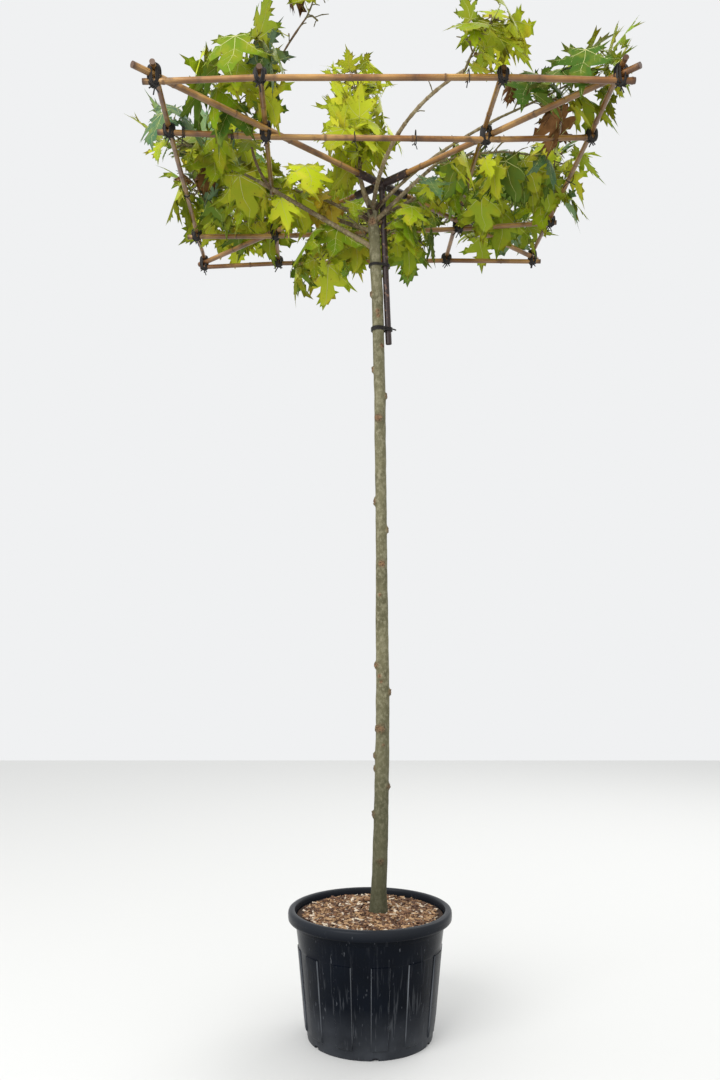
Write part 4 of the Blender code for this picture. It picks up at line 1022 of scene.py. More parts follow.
tie_rng = random.Random(9)
tie_lines = []
frame_ties = [f"frame_tie_{cross}_{long}" for cross in range(1, 5) for long in range(1, 5)]
for node in frame_ties:
    spots = corners_of(node)
    middle = (Vector(map(min, *spots)) + Vector(map(max, *spots))) / 2
    ways = [Vector((1, 1, 0)).normalized(), Vector((1, -1, 0)).normalized()]
    rise_half = max(spot.z for spot in spots) - middle.z - TIE_RADIUS
    tie_rng.shuffle(ways)
    tie_lines += winding(middle, ways[0], UP, TIE_TIGHT, rise_half, tie_rng.randint(4, 6), tie_rng)
    tie_lines += winding(middle, ways[1], UP, TIE_TIGHT, rise_half * 0.97, 4, tie_rng)
tied = bars("frame_ties", [[(point, TIE_RADIUS) for point in line] for line in tie_lines], soft_tube, 0.004, 6)
piece("frame_ties", tied, soft_tube, "black_tie", *frame_ties)

bough_tie_lines = []
for node, at, wide, tall in BOUGH_TIES:
    axis = FRAME_CANES[node]
    line, _, _ = centre_line(node, axis, 40)
    centre = Vector(min(line, key=lambda point: abs(point[axis] - at)))
    centre[axis] = at
    across = Vector((0, 1, 0)) if axis == 0 else Vector((1, 0, 0))
    bough_tie_lines += winding(centre + UP * 0.003, across, UP, wide, tall, tie_rng.randint(1, 2), tie_rng)
bound = bars("bough_ties", [[(point, THIN_TIE_RADIUS) for point in line] for line in bough_tie_lines], soft_tube,
             0.003, 6)
piece("bough_ties", bound, soft_tube, "black_tie")


def belt(height, turns, tail):
    """A tie round the stem and the post: along both outsides, with its end left sticking out."""
    stem_middle = on_line(stem_line, height)
    post = post_foot.lerp(hub, (height - post_foot.z) / (hub.z - post_foot.z))
    toward = math.atan2(post.y - stem_middle.y, post.x - stem_middle.x)
    line = []
    for lap in range(turns):
        for step in range(BELT_STEPS):
            share = step / BELT_STEPS
            rise = (lap + share - turns / 2) * BELT_PITCH
            if share < STEM_SHARE:
                middle, size = stem_middle, stem_size(height) + 0.0030
                turn = toward + math.pi / 2 + math.pi * share / STEM_SHARE
            else:
                middle, size = post, POST_OUTER + 0.0026
                turn = toward - math.pi / 2 + math.pi * (share - STEM_SHARE) / (1 - STEM_SHARE)
            line.append(Vector((middle.x, middle.y, height + rise)) + level_way(turn) * size)
    knot = line[-1]
    line += [knot + Vector(way) * tail for way in ((0.3, -0.1, 0.02), (0.7, -0.25, -0.08), (1.0, -0.4, -0.25))]
    return line


stem_tie_lines = []
for node, turns, tail in (("stem_tie_1", 2, 0.006), ("stem_tie_2", 3, 0.026)):
    tie_low, tie_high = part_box(node)
    stem_tie_lines.append(belt((tie_low.z + tie_high.z) / 2, turns, tail))
strapped = bars("stem_ties", [[(point, BELT_RADIUS) for point in line] for line in stem_tie_lines], soft_tube,
                0.003, 8)
piece("stem_ties", strapped, soft_tube, "black_tie", "stem_tie_1", "stem_tie_2")

# Twigs
# Each bough ends in this year's growth: one leading shoot with side twigs by turns, finer ones near their
# ends, a small bud over every leaf's root, and brown-green bark that is still thin.
# What carries each mass (a bough, or the stem at a height), the tip of its leading shoot and how its middle is
# drawn aside, how many side twigs it has and their reach, how far its leaves may stray from the shoot, how
# steeply they hang in degrees, the share of them that stand, and the seeds of its twigs and its finer growth
MASS_FORMS = ("on", "tip", "bow", "twigs", "reach", "space", "droop", "stand", "seed", "fine")
MASSES = {name: dict(zip(MASS_FORMS, row)) for name, *row in (
    ("left", "left", (-0.615, -0.250, 2.775), (-0.010, 0.030, 0.012), 5, 0.11, 0.20, 58, 0.15, 490, 687),
    ("front_left", "front_left", (-0.375, -0.510, 2.835), (-0.020, 0.000, 0.010), 5, 0.11, 0.19, 62, 0.45, 125, 249),
    ("tall_left", "tall_left", (-0.150, -0.380, 3.130), (0.006, 0.000, 0.000), 3, 0.05, 0.15, 50, 0.6, 179, 196),
    ("upright", "upright", (-0.045, 0.015, 3.105), (0.010, 0.000, 0.000), 6, 0.07, 0.17, 55, 0.75, 734, 778),
    ("front_right", "front_right", (0.300, -0.655, 2.830), (-0.010, 0.000, -0.010), 3, 0.06, 0.16, 45, 0.5, 196, 888),
    ("right", "right", (0.610, -0.045, 2.770), (0.000, -0.035, 0.018), 7, 0.12, 0.22, 60, 0.05, 490, 778),
    ("right_front", "right_front", (0.600, -0.485, 2.805), (0.020, 0.010, 0.010), 6, 0.11, 0.19, 50, 0.25, 924, 100),
    ("side_right", "side_right", (0.600, 0.215, 2.765), (0.000, 0.000, 0.028), 6, 0.12, 0.21, 60, 0.05, 139, 880),
    ("back_right", "back_right", (0.520, 0.530, 2.795), (0.000, 0.020, 0.012), 6, 0.14, 0.23, 40, 0.15, 139, 778),
    ("back", "back", (0.020, 0.590, 2.790), (0.000, 0.000, 0.012), 5, 0.14, 0.23, 67, 0.15, 903, 100),
    ("back_left", "back_left", (-0.540, 0.500, 2.795), (0.000, 0.020, 0.010), 6, 0.14, 0.23, 55, 0.2, 139, 941),
    ("side_left", "side_left", (-0.590, 0.150, 2.775), (0.000, 0.000, 0.016), 6, 0.12, 0.21, 67, 0.2, 597, 100),
    ("low_left", 2.545, (-0.165, 0.080, 2.515), (0.000, 0.000, 0.045), 5, 0.09, 0.22, 72, 0.0, 23, 249),
    ("low_right", 2.545, (0.150, 0.130, 2.590), (0.010, 0.000, 0.040), 4, 0.08, 0.22, 68, 0.0, 349, 100))}
GAP = 0.0003
STEM_TO_TIP = 0.94
SHOOT_RADIUS = (0.0036, 0.0020)
TWIG_RADII = (0.0018, 0.0027, 0.0021)
MASS_RINGS = 6
MASS_COLLAR = 0.005
MASS_SIDES = 4
TWIG_SPAN = (0.14, 0.94)
TWIG_ANGLE = 52
TWIG_ANGLE_SPREAD = 14
TWIG_RISE = (-0.12, 0.30)
TWIG_REACH_SPREAD = (0.75, 1.20)
TWIG_SHORTENING = 0.45
TWIG_BOW = (0.0, 0.0, 0.010)
STEEP = 0.8
# Upward, yet never along a twig, so that there is always a sideways direction
NEARLY_UP = Vector((0.05, 0.02, 1))
CLEARANCE = 0.004
LEAF_LENGTH = (0.110, 0.155)
LEAF_THICK = 0.0026
LEAF_MARGIN = 1.03
STALK_WIDTH = 0.0030
STALK_ROOT = 0.0016
STALK_POINTS = 3
STALK_SHARE = 0.34
STALK_SINK = 0.0004
STALK_LEAN = (-5, 40)
END_LEAF_INSET = 0.003
LEAF_FORWARD = 0.6
LEAF_SPIN = 0.6
LEAF_ROLL = 0.5
DROOP_SPREAD = 22
STANDING = -55
FLATTEST = 0.2
LEAF_TRIES = 48
LEAF_STEPS = ((0.30, 1), (0.56, -1), (0.80, 1))
LEAF_HALF = ((0.40, 0.02), (0.29, 0.26), (0.58, 0.54), (0.21, 0.56))
LEAF_HEART = 0.36
LEAF_FOLD = 0.16
LEAF_CURL = 0.20
# Finer growth: places along a twig, on which hand, and how long
FINE_STEPS = ((0.44, -1), (0.68, 1), (0.90, -1))
FINE_FORWARD = 0.7
FINE_RISE = (-0.1, 0.5)
FINE_BOW = (0, 0, 0.003)
FINE_REACH = (0.022, 0.048)
FINE_LEAF_STEPS = ((0.6, 1),)
FINE_RADII = (0.0014, 0.0015, 0.0011)
FINE_LEAF_LENGTH = (0.060, 0.118)
FINE_TRIES = 24
# The bough's own last runs bear spurs too, from this point of its line on
SPUR_FROM = 2
# The sky seen through and round the crown from the front: middles (X, Z) and radii on the stem's plane
OPEN_SKY = (
    (-0.805, 3.32, 0.27), (-0.690, 3.08, 0.070), (-0.830, 2.83, 0.085), (-0.805, 2.66, 0.175), (-0.805, 2.39, 0.245),
    (-0.510, 3.32, 0.11), (-0.173, 3.20, 0.10), (0.074, 3.32, 0.17), (0.125, 3.135, 0.09), (0.118, 2.975, 0.072),
    (0.639, 3.32, 0.16), (0.558, 3.15, 0.05), (0.895, 3.12, 0.065), (0.895, 2.95, 0.085), (0.895, 2.785, 0.122),
    (0.748, 2.65, 0.060), (0.350, 2.95, 0.098), (0.465, 2.907, 0.067), (0.244, 2.497, 0.050), (0.289, 2.39, 0.096),
    (0.446, 2.39, 0.086), (0.562, 2.39, 0.093), (0.895, 2.39, 0.28), (-0.334, 2.39, 0.073), (-0.536, 2.39, 0.073),
    (-0.180, 3.04, 0.041), (-0.257, 2.943, 0.038), (-0.308, 2.856, 0.035), (0.234, 3.16, 0.045),
    (-0.475, 3.245, 0.050), (-0.590, 3.126, 0.032), (-0.222, 3.094, 0.058))
# How near to the left bough or the stem's head, as seen from the front, a leaf before them may come
SHOWN_MARGIN = 0.028
# How far past the plain solids' box a leaf's plain outline may reach
ROOM_MARGIN = 0.018
# A bud's form: how far out from the twig, and its radius there
BUD_LEAN = 0.3
BUD_FORM = ((0.0, 0.0016), (0.003, 0.0026), (0.006, 0.0022), (0.0095, 0.0005))


def plain_tube(points, radii, sides):
    """A plain limb's (points, faces), for testing what it would touch."""
    rings = rings_along(points, radii, sides, UP)
    return [spot for ring in rings for spot, _ in ring], ring_faces(len(points), sides)


def plain_leaf(root, base, along, normal, length, thick):
    """A plain leaf's (points, faces) with its stalk, for testing what it would touch."""
    aside = along.cross(normal)
    half_stalk = STALK_WIDTH / 2 / length
    outline = [(-half_stalk, 0.0), (half_stalk, 0.0)] + list(LEAF_HALF) + [(0.0, 1.0)]
    outline += [(-across, ahead) for across, ahead in reversed(LEAF_HALF)]
    points = []
    for across, ahead in outline:
        sink = LEAF_FOLD * abs(across) + LEAF_CURL * ahead * ahead
        points.append(base + (aside * across + along * ahead - normal * sink) * length)
    heart = base + (along * LEAF_HEART - normal * LEAF_CURL * LEAF_HEART * LEAF_HEART) * length
    rim = len(points)
    upper, lower, under, left, right, keel = range(rim, rim + 3 + STALK_POINTS)
    points += [heart + normal * thick / 2, heart - normal * thick / 2, base - normal * STALK_WIDTH]
    points += [root - aside * STALK_ROOT / 2, root + aside * STALK_ROOT / 2, root - normal * STALK_ROOT]
    faces = [[upper, corner, (corner + 1) % rim] for corner in range(rim)]
    faces += [[lower, (corner + 1) % rim, corner] for corner in range(1, rim)]
    faces += [[lower, 1, under], [lower, under, 0], [0, left, right, 1], [1, right, keel, under],
              [under, keel, left, 0], [left, keel, right]]
    return points, faces


def blade_of(leaf):
    """A plain leaf without its stalk."""
    points, faces = leaf
    stalk = range(len(points) - STALK_POINTS, len(points))
    return points, [face for face in faces if not any(corner in stalk for corner in face)]


def ball_and_tree(shape):
    """A plain shape's middle, its reach from there and its search tree."""
    points, faces = shape
    middle = mean(points)
    reach = max((point - middle).length for point in points)
    return middle, reach, BVHTree.FromPolygons([tuple(point) for point in points], faces)


class Guard:
    """What is already placed, and whose it is, so that a new twig or leaf can be kept clear of it."""

    def __init__(self):
        self.kept = []

    def add(self, shape, owner=None):
        self.kept.append((owner, *ball_and_tree(shape)))

    def touches(self, shape, owner=None):
        middle, reach, own_tree = ball_and_tree(shape)
        return any((centre - middle).length < size + reach and own_tree.overlap(kept_tree)
                   for whose, centre, size, kept_tree in self.kept if owner is None or whose != owner)


def mass_line(name):
    """The points of a mass's leading shoot, from the end of what carries it."""
    mass = MASSES[name]
    tip = Vector(mass["tip"])
    if not isinstance(mass["on"], str):
        return arc(stem_axis(mass["on"]), tip, mass["bow"], MASS_RINGS)
    line = bough_points(mass["on"])
    ahead = (line[-1] - line[-2]).normalized()
    start = line[-1] + ahead * GAP
    return [start] + arc(start + ahead * MASS_COLLAR, tip, mass["bow"], MASS_RINGS - 1)


def shoot_radii(name):
    """The radii of a mass's leading shoot at its points."""
    carrier = MASSES[name]["on"]
    first = BOUGHS[carrier]["radii"][1] * STEM_TO_TIP if isinstance(carrier, str) else SHOOT_RADIUS[0]
    return [first + (SHOOT_RADIUS[1] - first) * step / (MASS_RINGS - 1) for step in range(MASS_RINGS)]


def twig_lines(name, rng):
    """Side twigs, set alternately along the leading shoot, each rising a little and then sagging."""
    mass = MASSES[name]
    line = mass_line(name)
    twigs = []
    for number in range(mass["twigs"]):
        share = TWIG_SPAN[0] + (TWIG_SPAN[1] - TWIG_SPAN[0]) * number / max(mass["twigs"] - 1, 1)
        start, ahead = part_way(line, share)
        aside = ahead.cross(UP).normalized() * (1 if number % 2 else -1)
        if abs(ahead.z) >= STEEP:
            aside = level_way(rng.uniform(0, math.tau))
        angle = math.radians(TWIG_ANGLE + rng.uniform(-TWIG_ANGLE_SPREAD, TWIG_ANGLE_SPREAD))
        way = ahead * math.cos(angle) + aside * math.sin(angle) + UP * rng.uniform(*TWIG_RISE)
        reach = mass["reach"] * (1.0 - TWIG_SHORTENING * share) * rng.uniform(*TWIG_REACH_SPREAD)
        twigs.append(arc(start, start + way.normalized() * reach, TWIG_BOW, len(TWIG_RADII)))
    return twigs


def leaf_places(lines, steps):
    """Where leaves sit along twigs and at their ends, as (root, way)."""
    places = []
    for line in lines:
        ahead = (line[-1] - line[-2]).normalized()
        places.append((line[-1] - ahead * END_LEAF_INSET, ahead))
        for share, hand in steps:
            root, _ = part_way(line, share)
            aside = ahead.cross(NEARLY_UP).normalized() * hand
            places.append((root, (ahead * LEAF_FORWARD + aside).normalized()))
    return places


def leaf_frame(root, way, mass, length, rng):
    """Where the stalk starts, the blade's base, and the blade's midrib and normal. Most leaves hang, some stand."""
    turn = math.atan2(way.y, way.x)
    if Vector((way.x, way.y)).length < FLATTEST:
        turn = rng.uniform(0, math.tau)
    flat = level_way(turn + rng.uniform(-LEAF_SPIN, LEAF_SPIN))
    lean = math.radians(rng.uniform(*STALK_LEAN))
    stalk_way = flat * math.cos(lean) + UP * math.sin(lean)
    base = root + stalk_way * length * STALK_SHARE
    start = root - stalk_way * STALK_SINK
    droop = STANDING if rng.random() < mass["stand"] else mass["droop"]
    down = math.radians(droop + rng.uniform(-DROOP_SPREAD, DROOP_SPREAD))
    along = flat * math.cos(down) - UP * math.sin(down)
    normal = flat * math.sin(down) + UP * math.cos(down)
    roll = rng.uniform(-LEAF_ROLL, LEAF_ROLL)
    normal = (normal * math.cos(roll) + along.cross(normal) * math.sin(roll)).normalized()
    return start, base, along, normal


def far_from(line, points):
    """How far the furthest of the points lies from a line."""
    furthest = 0.0
    for point in points:
        nearest = math.inf
        for first, last in zip(line, line[1:]):
            way = last - first
            share = min(max((point - first).dot(way) / way.length_squared, 0.0), 1.0)
            nearest = min(nearest, (point - first - way * share).length)
        furthest = max(furthest, nearest)
    return furthest


def seen_at(point):
    """Where a point is seen from the front, as X and Z on the stem's plane."""
    eye = Vector(CAMERA_PLACE)
    nearness = eye.y / (eye.y - point.y)
    return Vector((eye.x + (point.x - eye.x) * nearness, eye.z + (point.z - eye.z) * nearness))


def in_the_way(points):
    """Whether any of the points leaves the tree's room, or is seen against open sky or before wood that shows."""
    for point in points:
        if any(not low - ROOM_MARGIN < value < high + ROOM_MARGIN
               for low, value, high in zip(cad_low, point, cad_high)):
            return True
        spot = seen_at(point)
        if any(math.hypot(spot.x - x, spot.y - z) < radius for x, z, radius in OPEN_SKY):
            return True
        if any(point.y < depth and (spot - place).length < SHOWN_MARGIN for place, depth in shown_wood):
            return True
    return False


def grow_leaves(name, places, lengths, tries, rng, guard, wood, blades):
    """The leaves at their places that keep to the mass's space and touch nothing they don't grow from."""
    mass = MASSES[name]
    line = mass_line(name)
    leaves = []
    for root, way in places:
        for _ in range(tries):
            length = rng.uniform(*lengths)
            leaf = leaf_frame(root, way, mass, length, rng)
            wide = plain_leaf(*leaf, length * LEAF_MARGIN, LEAF_THICK + CLEARANCE)
            if in_the_way(wide[0][:-STALK_POINTS]) or far_from(line, wide[0]) > mass["space"]:
                continue
            if guard.touches(wide, name):
                continue
            if blades.touches(wide) or wood.touches(blade_of(wide)):
                continue
            blades.add(wide)
            guard.add(wide, name)
            leaves.append((name, *leaf, length))
            break
    return leaves


shown_wood = [(seen_at(point), point.y) for point in
              bough_points("left", 14) + [stem_axis(2.33 + 0.035 * step) for step in range(9)]]
guard = Guard()
for node, solid in nodes.items():
    if node.startswith(("pot", "soil", "foliage")):
        continue
    guard.add((corners_of(node), [list(face.vertices) for face in solid.data.polygons]))
for name in MASSES:
    wide = [radius + CLEARANCE / 2 for radius in shoot_radii(name)]
    guard.add(plain_tube(mass_line(name)[1:], wide[1:], MASS_SIDES), name)

shoot_lines, leaves, growth = [], [], {}
for name in MASSES:
    rng = random.Random(MASSES[name]["seed"])
    line = mass_line(name)
    wood = Guard()
    wood.add(plain_tube(line, shoot_radii(name), MASS_SIDES))
    twigs = []
    for twig in twig_lines(name, rng):
        radii = [radius + CLEARANCE for radius in TWIG_RADII]
        wide = plain_tube(twig, radii, MASS_SIDES)
        if not guard.touches(wide, name) and not wood.touches(plain_tube(twig[1:], radii[1:], MASS_SIDES)):
            guard.add(wide, name)
            wood.add(wide)
            twigs.append(twig)
    blades = Guard()
    leaves += grow_leaves(name, leaf_places(twigs + [line], LEAF_STEPS), LEAF_LENGTH, LEAF_TRIES, rng,
                          guard, wood, blades)
    shoot_lines.append(list(zip(line, shoot_radii(name))))
    shoot_lines += [list(zip(twig, TWIG_RADII)) for twig in twigs]
    growth[name] = (twigs, wood, blades)

fine_lines = []
for name, (twigs, wood, blades) in growth.items():
    rng = random.Random(MASSES[name]["fine"])
    fine = []
    carrier = MASSES[name]["on"]
    carried_on = [bough_points(carrier)[SPUR_FROM:]] if isinstance(carrier, str) else []
    for line in twigs + [mass_line(name)] + carried_on:
        for share, hand in FINE_STEPS:
            start, ahead = part_way(line, share)
            aside = ahead.cross(NEARLY_UP).normalized() * hand
            way = (ahead * FINE_FORWARD + aside + UP * rng.uniform(*FINE_RISE)).normalized()
            twig = arc(start, start + way * rng.uniform(*FINE_REACH), FINE_BOW, len(FINE_RADII))
            wide = plain_tube(twig[1:], [radius + CLEARANCE / 2 for radius in FINE_RADII[1:]], MASS_SIDES)
            if not guard.touches(wide) and not wood.touches(wide):
                guard.add(wide, name)
                fine.append(twig)
    leaves += grow_leaves(name, leaf_places(fine, FINE_LEAF_STEPS), FINE_LEAF_LENGTH, FINE_TRIES, rng,
                          guard, wood, blades)
    fine_lines += [list(zip(twig, FINE_RADII)) for twig in fine]

twig_bark = bark_material("twig bark", "#4A3C26", "#6B6440", "#8C8562", "#33241A", 60.0)
foliage_nodes = [f"foliage_{name}" for name in MASSES]
twig_mesh = bars("twigs", shoot_lines + fine_lines, twig_bark, 0.0035, 9, 0.026, 0.0022, 0.28)
piece("twigs", twig_mesh, twig_bark, "bough_bark", *foliage_nodes)

bud_lines = []
for name, root, base, _, _, _ in leaves:
    way = (base - root).normalized() * BUD_LEAN + UP
    bud_lines.append([(root + way.normalized() * reach, size) for reach, size in BUD_FORM])
bud_scale = new_material("bud scale", {"Roughness": 0.5, "Specular IOR Level": 0.3}, {
    "blotch": ("TexNoise", "where", 300.0, 2.0),
    "Base Color": ("Mix RGBA", "blotch", "#4A2A1C", "#86643A")})
piece("buds", bars("buds", bud_lines, bud_scale, 0.0028, 6), bud_scale, "bough_bark")

# Leaves
# Five-lobed plane leaves with coarse teeth, cupped and drooping on long stalks, pale beneath. Fresh ones are
# yellow-green, old ones dark or blue-green, and late in the year some turn yellow or dry to a brown curl.
# The right half of a leaf's toothed edge for a length of 1, from the stalk round two lobes to the tip
LEAF_EDGE = (
    (0.016, 0.010), (0.085, -0.050), (0.195, -0.018), (0.305, -0.105), (0.318, -0.005), (0.500, -0.062),
    (0.398, 0.060), (0.478, 0.142), (0.332, 0.138), (0.236, 0.214), (0.362, 0.222), (0.432, 0.332),
    (0.528, 0.292), (0.560, 0.400), (0.745, 0.548), (0.582, 0.528), (0.566, 0.648), (0.438, 0.528),
    (0.290, 0.500), (0.172, 0.468), (0.196, 0.590), (0.338, 0.668), (0.212, 0.690), (0.280, 0.838),
    (0.140, 0.790), (0.112, 0.905), (0.056, 0.880))
LEAF_TIP = 1.07
# Places on the veins and between them, which give the blade its form; the last six have twins on the left
LEAF_INSIDE = ((0.0, 0.17), (0.0, 0.40), (0.0, 0.62), (0.0, 0.80),
               (0.24, 0.035), (0.15, 0.16), (0.19, 0.30), (0.09, 0.42), (0.40, 0.42), (0.33, 0.46))
BLADE_THICK = 0.0045
BLADE_SKEW = 0.05
LOBE_SWAY = 0.22
PHASE_STEP = 1.7
VEIN_ENDS = ((0.0, 1.00), (0.66, 0.53), (-0.66, 0.53), (0.43, -0.04), (-0.43, -0.04))
VEIN_WIDTH = (0.012, 0.003)
VEIN_STEPS = 4
SIDE_VEINS = (0.34, 0.52, 0.70)
# How the blade is rolled sideways, curled lengthways, waved and cupped, and how wide it is
LEAF_KINDS = (
    (0.5, 0.14, 0.030, 0.00, 1.00), (1.1, 0.06, 0.045, 0.04, 0.97), (-0.6, 0.22, 0.040, 0.03, 1.03),
    (1.5, 0.20, 0.055, 0.06, 0.95), (0.2, 0.02, 0.035, -0.05, 1.04), (3.4, 0.50, 0.130, 0.20, 0.95),
    (2.6, 0.75, 0.150, 0.05, 0.90))
CRISP_KINDS = (5, 6)
# The colours above and beneath, and the colour that patches of the blade age to
TINTS = {
    "fresh": ("#9FB31C", "#ADB82E", "#C6BB30"), "lime": ("#C0CC1E", "#C4CE30", "#D4CE3C"),
    "green": ("#7C9A18", "#94A62C", "#A8AA22"), "deep": ("#4A6C20", "#68832F", "#7E8A26"),
    "blue": ("#4C6E4A", "#7F9C74", "#7C9044"), "yellow": ("#C6AA28", "#C0AC3A", "#A8742A"),
    "crisp": ("#6A4422", "#86603A", "#452A18"),
}
TONE_SPREAD = (0.64, 1.20)
# Sprays whose tint has a place: the tint, the place's X and Z as seen from the front, and its radius
PLACED_TINTS = (
    ("crisp", -0.590, 2.730, 0.055), ("crisp", 0.580, 2.930, 0.050), ("crisp", 0.470, 3.020, 0.035),
    ("deep", 0.540, 3.010, 0.055), ("yellow", -0.150, 2.640, 0.045), ("blue", -0.480, 2.870, 0.040),
    ("yellow", 0.090, 2.560, 0.025), ("deep", 0.400, 2.650, 0.045), ("blue", -0.160, 2.800, 0.035))
# Leaves further back than this keep the tint they were dealt
PLACED_DEPTH = 0.15
# Which tints each mass wears, by weight
TINT_WEIGHTS = {
    "left": {"fresh": 7, "green": 5, "lime": 2, "blue": 2, "deep": 2},
    "front_left": {"fresh": 6, "green": 6, "blue": 2, "deep": 2, "lime": 1},
    "tall_left": {"yellow": 3, "crisp": 1, "green": 2, "fresh": 3},
    "upright": {"lime": 9, "fresh": 2},
    "front_right": {"green": 5, "fresh": 5, "lime": 1},
    "right": {"fresh": 7, "green": 5, "deep": 3, "lime": 2, "blue": 1},
    "right_front": {"deep": 3, "green": 5, "fresh": 5, "blue": 1},
    "side_right": {"fresh": 5, "green": 5, "deep": 3, "blue": 1},
    "back_right": {"fresh": 4, "green": 4, "deep": 3, "lime": 1, "blue": 1},
    "back": {"fresh": 5, "green": 4, "lime": 2, "deep": 1},
    "back_left": {"fresh": 6, "green": 4, "lime": 2, "deep": 2, "blue": 1},
    "side_left": {"fresh": 6, "green": 4, "lime": 2, "deep": 1},
    "low_left": {"fresh": 5, "lime": 1, "green": 6, "deep": 1},
    "low_right": {"fresh": 4, "green": 5, "deep": 3, "lime": 1},
}


def leaf_point(x, y, kind, phase, lift):
    """Where a place of the leaf's flat plan lies on the formed blade, with lift along its normal."""
    roll, curl, wave, cup, wide = kind
    sway = LOBE_SWAY * math.hypot(x, y)
    x, y = (x + sway * noise.noise(Vector((x * 2.0, y * 2.0, phase * 3))),
            y + sway * noise.noise(Vector((x * 2.0 + 7.3, y * 2.0, phase * 3))))
    out = math.hypot(x, y - 0.3)
    turn = math.atan2(x, y - 0.05)
    valley = 0.5 - 0.5 * math.cos(turn * 7.4)
    across = math.sin(roll * x) / roll
    sink = (1 - math.cos(roll * x)) / roll
    height = -sink - curl * y * abs(y) + cup * out * out + 0.045 * valley * out
    height += wave * math.sin(turn * 5 + phase) * out * out
    return ((across * wide + BLADE_SKEW * math.sin(phase * 3) * y * y), y, height + lift)


def blade_mesh(name, kind, phase, side):
    """One face of a leaf on its toothed outline. side is 1 on top, -1 beneath."""
    half_edge = [Vector(spot) for spot in LEAF_EDGE]
    outline = half_edge + [Vector((0.0, LEAF_TIP))] + [Vector((-spot.x, spot.y)) for spot in reversed(half_edge)]
    inside = [Vector(spot) for spot in LEAF_INSIDE]
    inside += [Vector((-spot.x, spot.y)) for spot in inside if spot.x > 0]
    flat, _, faces, _, _, _ = delaunay_2d_cdt(outline + inside, [], [list(range(len(outline)))], 1, 1e-6)
    rim = {(round(spot.x, 4), round(spot.y, 4)) for spot in outline}
    on_rim = [(round(spot.x, 4), round(spot.y, 4)) in rim for spot in flat]
    points = [leaf_point(spot.x, spot.y, kind, phase, 0.0 if edge else side * BLADE_THICK / 2)
              for spot, edge in zip(flat, on_rim)]
    turned = []
    for face in faces:
        first, second, third = (flat[corner] for corner in face)
        left_hand = (second - first).cross(third - first) > 0
        turned.append(tuple(face) if left_hand == (side > 0) else tuple(reversed(face)))
    mesh = new_mesh(name, points, turned)
    mark(mesh, "edge", [float(edge) for edge in on_rim])
    return mesh


def vein_mesh(name, kind, phase):
    """The ribs of a leaf: five main ones from the stalk on both faces, with side veins off them above."""
    points, faces = [], []

    def strip(first, last, widths, steps, side):
        way = (last - first).normalized()
        out = Vector((-way.y, way.x)) * side
        start = len(points)
        for step in range(steps + 1):
            at = first.lerp(last, step / steps)
            width = widths[0] + (widths[1] - widths[0]) * step / steps
            for hand in (0.5, -0.5):
                spot = at + out * width * hand
                points.append(leaf_point(spot.x, spot.y, kind, phase, side * BLADE_THICK * 1.2))
        for step in range(steps):
            low = start + step * 2
            faces.append((low, low + 1, low + 3, low + 2))

    origin = Vector((0.0, 0.04))
    for end in VEIN_ENDS:
        end = Vector(end)
        for side in (1, -1):
            strip(origin, end, VEIN_WIDTH, VEIN_STEPS, side)
        way = (end - origin).normalized()
        for share in SIDE_VEINS:
            reach = (end - origin).length * 0.34 * (1 - share)
            for hand in (-1, 1):
                out = Vector((-way.y, way.x)) * hand
                start = origin.lerp(end, share)
                strip(start, start + (way * 0.8 + out).normalized() * reach, (0.0050, 0.0020), 1, 1)
    return new_mesh(name, points, faces)


leaf_parts = {label: bpy.data.collections.new(f"leaf {label}") for label in ("tops", "undersides", "veins")}
for number, kind in enumerate(LEAF_KINDS):
    phase = PHASE_STEP * number
    new_object(f"top_{number}", blade_mesh(f"top_{number}", kind, phase, 1), leaf_parts["tops"])
    new_object(f"under_{number}", blade_mesh(f"under_{number}", kind, phase, -1), leaf_parts["undersides"])
    new_object(f"vein_{number}", vein_mesh(f"vein_{number}", kind, phase), leaf_parts["veins"])

set_out, given = new_tree("Leaves at their places", {
    "Places": "Geometry", "Kinds": "Collection", "Finish": "Material"})
kinds = add(set_out, "GeometryNodeCollectionInfo", {}, {0: given["Kinds"], 1: True, 2: True})
which = add(set_out, "GeometryNodeInputNamedAttribute", {"data_type": "INT"}, {0: "kind"})
facing = add(set_out, "GeometryNodeInputNamedAttribute", {"data_type": "FLOAT_VECTOR"}, {0: "facing"})
length_of = add(set_out, "GeometryNodeInputNamedAttribute", {"data_type": "FLOAT"}, {0: "length"})
turned = add(set_out, "FunctionNodeEulerToRotation", {}, {0: facing.outputs[0]})
placed = add(set_out, "GeometryNodeInstanceOnPoints", {},
             {"Points": given["Places"], "Instance": kinds.outputs[0], "Pick Instance": True,
              "Instance Index": which.outputs[0], "Rotation": turned.outputs[0], "Scale": length_of.outputs[0]})
finish_tree(set_out, placed.outputs[0], given["Finish"])


def places_object(chosen):
    """Points at the leaves' bases, which carry each leaf's facing, length, kind and tone."""
    mesh = new_mesh("leaf places", [leaf["base"] for leaf in chosen], [])
    mark(mesh, "facing", [value for leaf in chosen for value in leaf["facing"]], "FLOAT_VECTOR")
    for label, kind in (("length", "FLOAT"), ("kind", "INT"), ("tone", "FLOAT")):
        mark(mesh, label, [leaf[label] for leaf in chosen], kind)
    return new_object("leaf places", mesh)


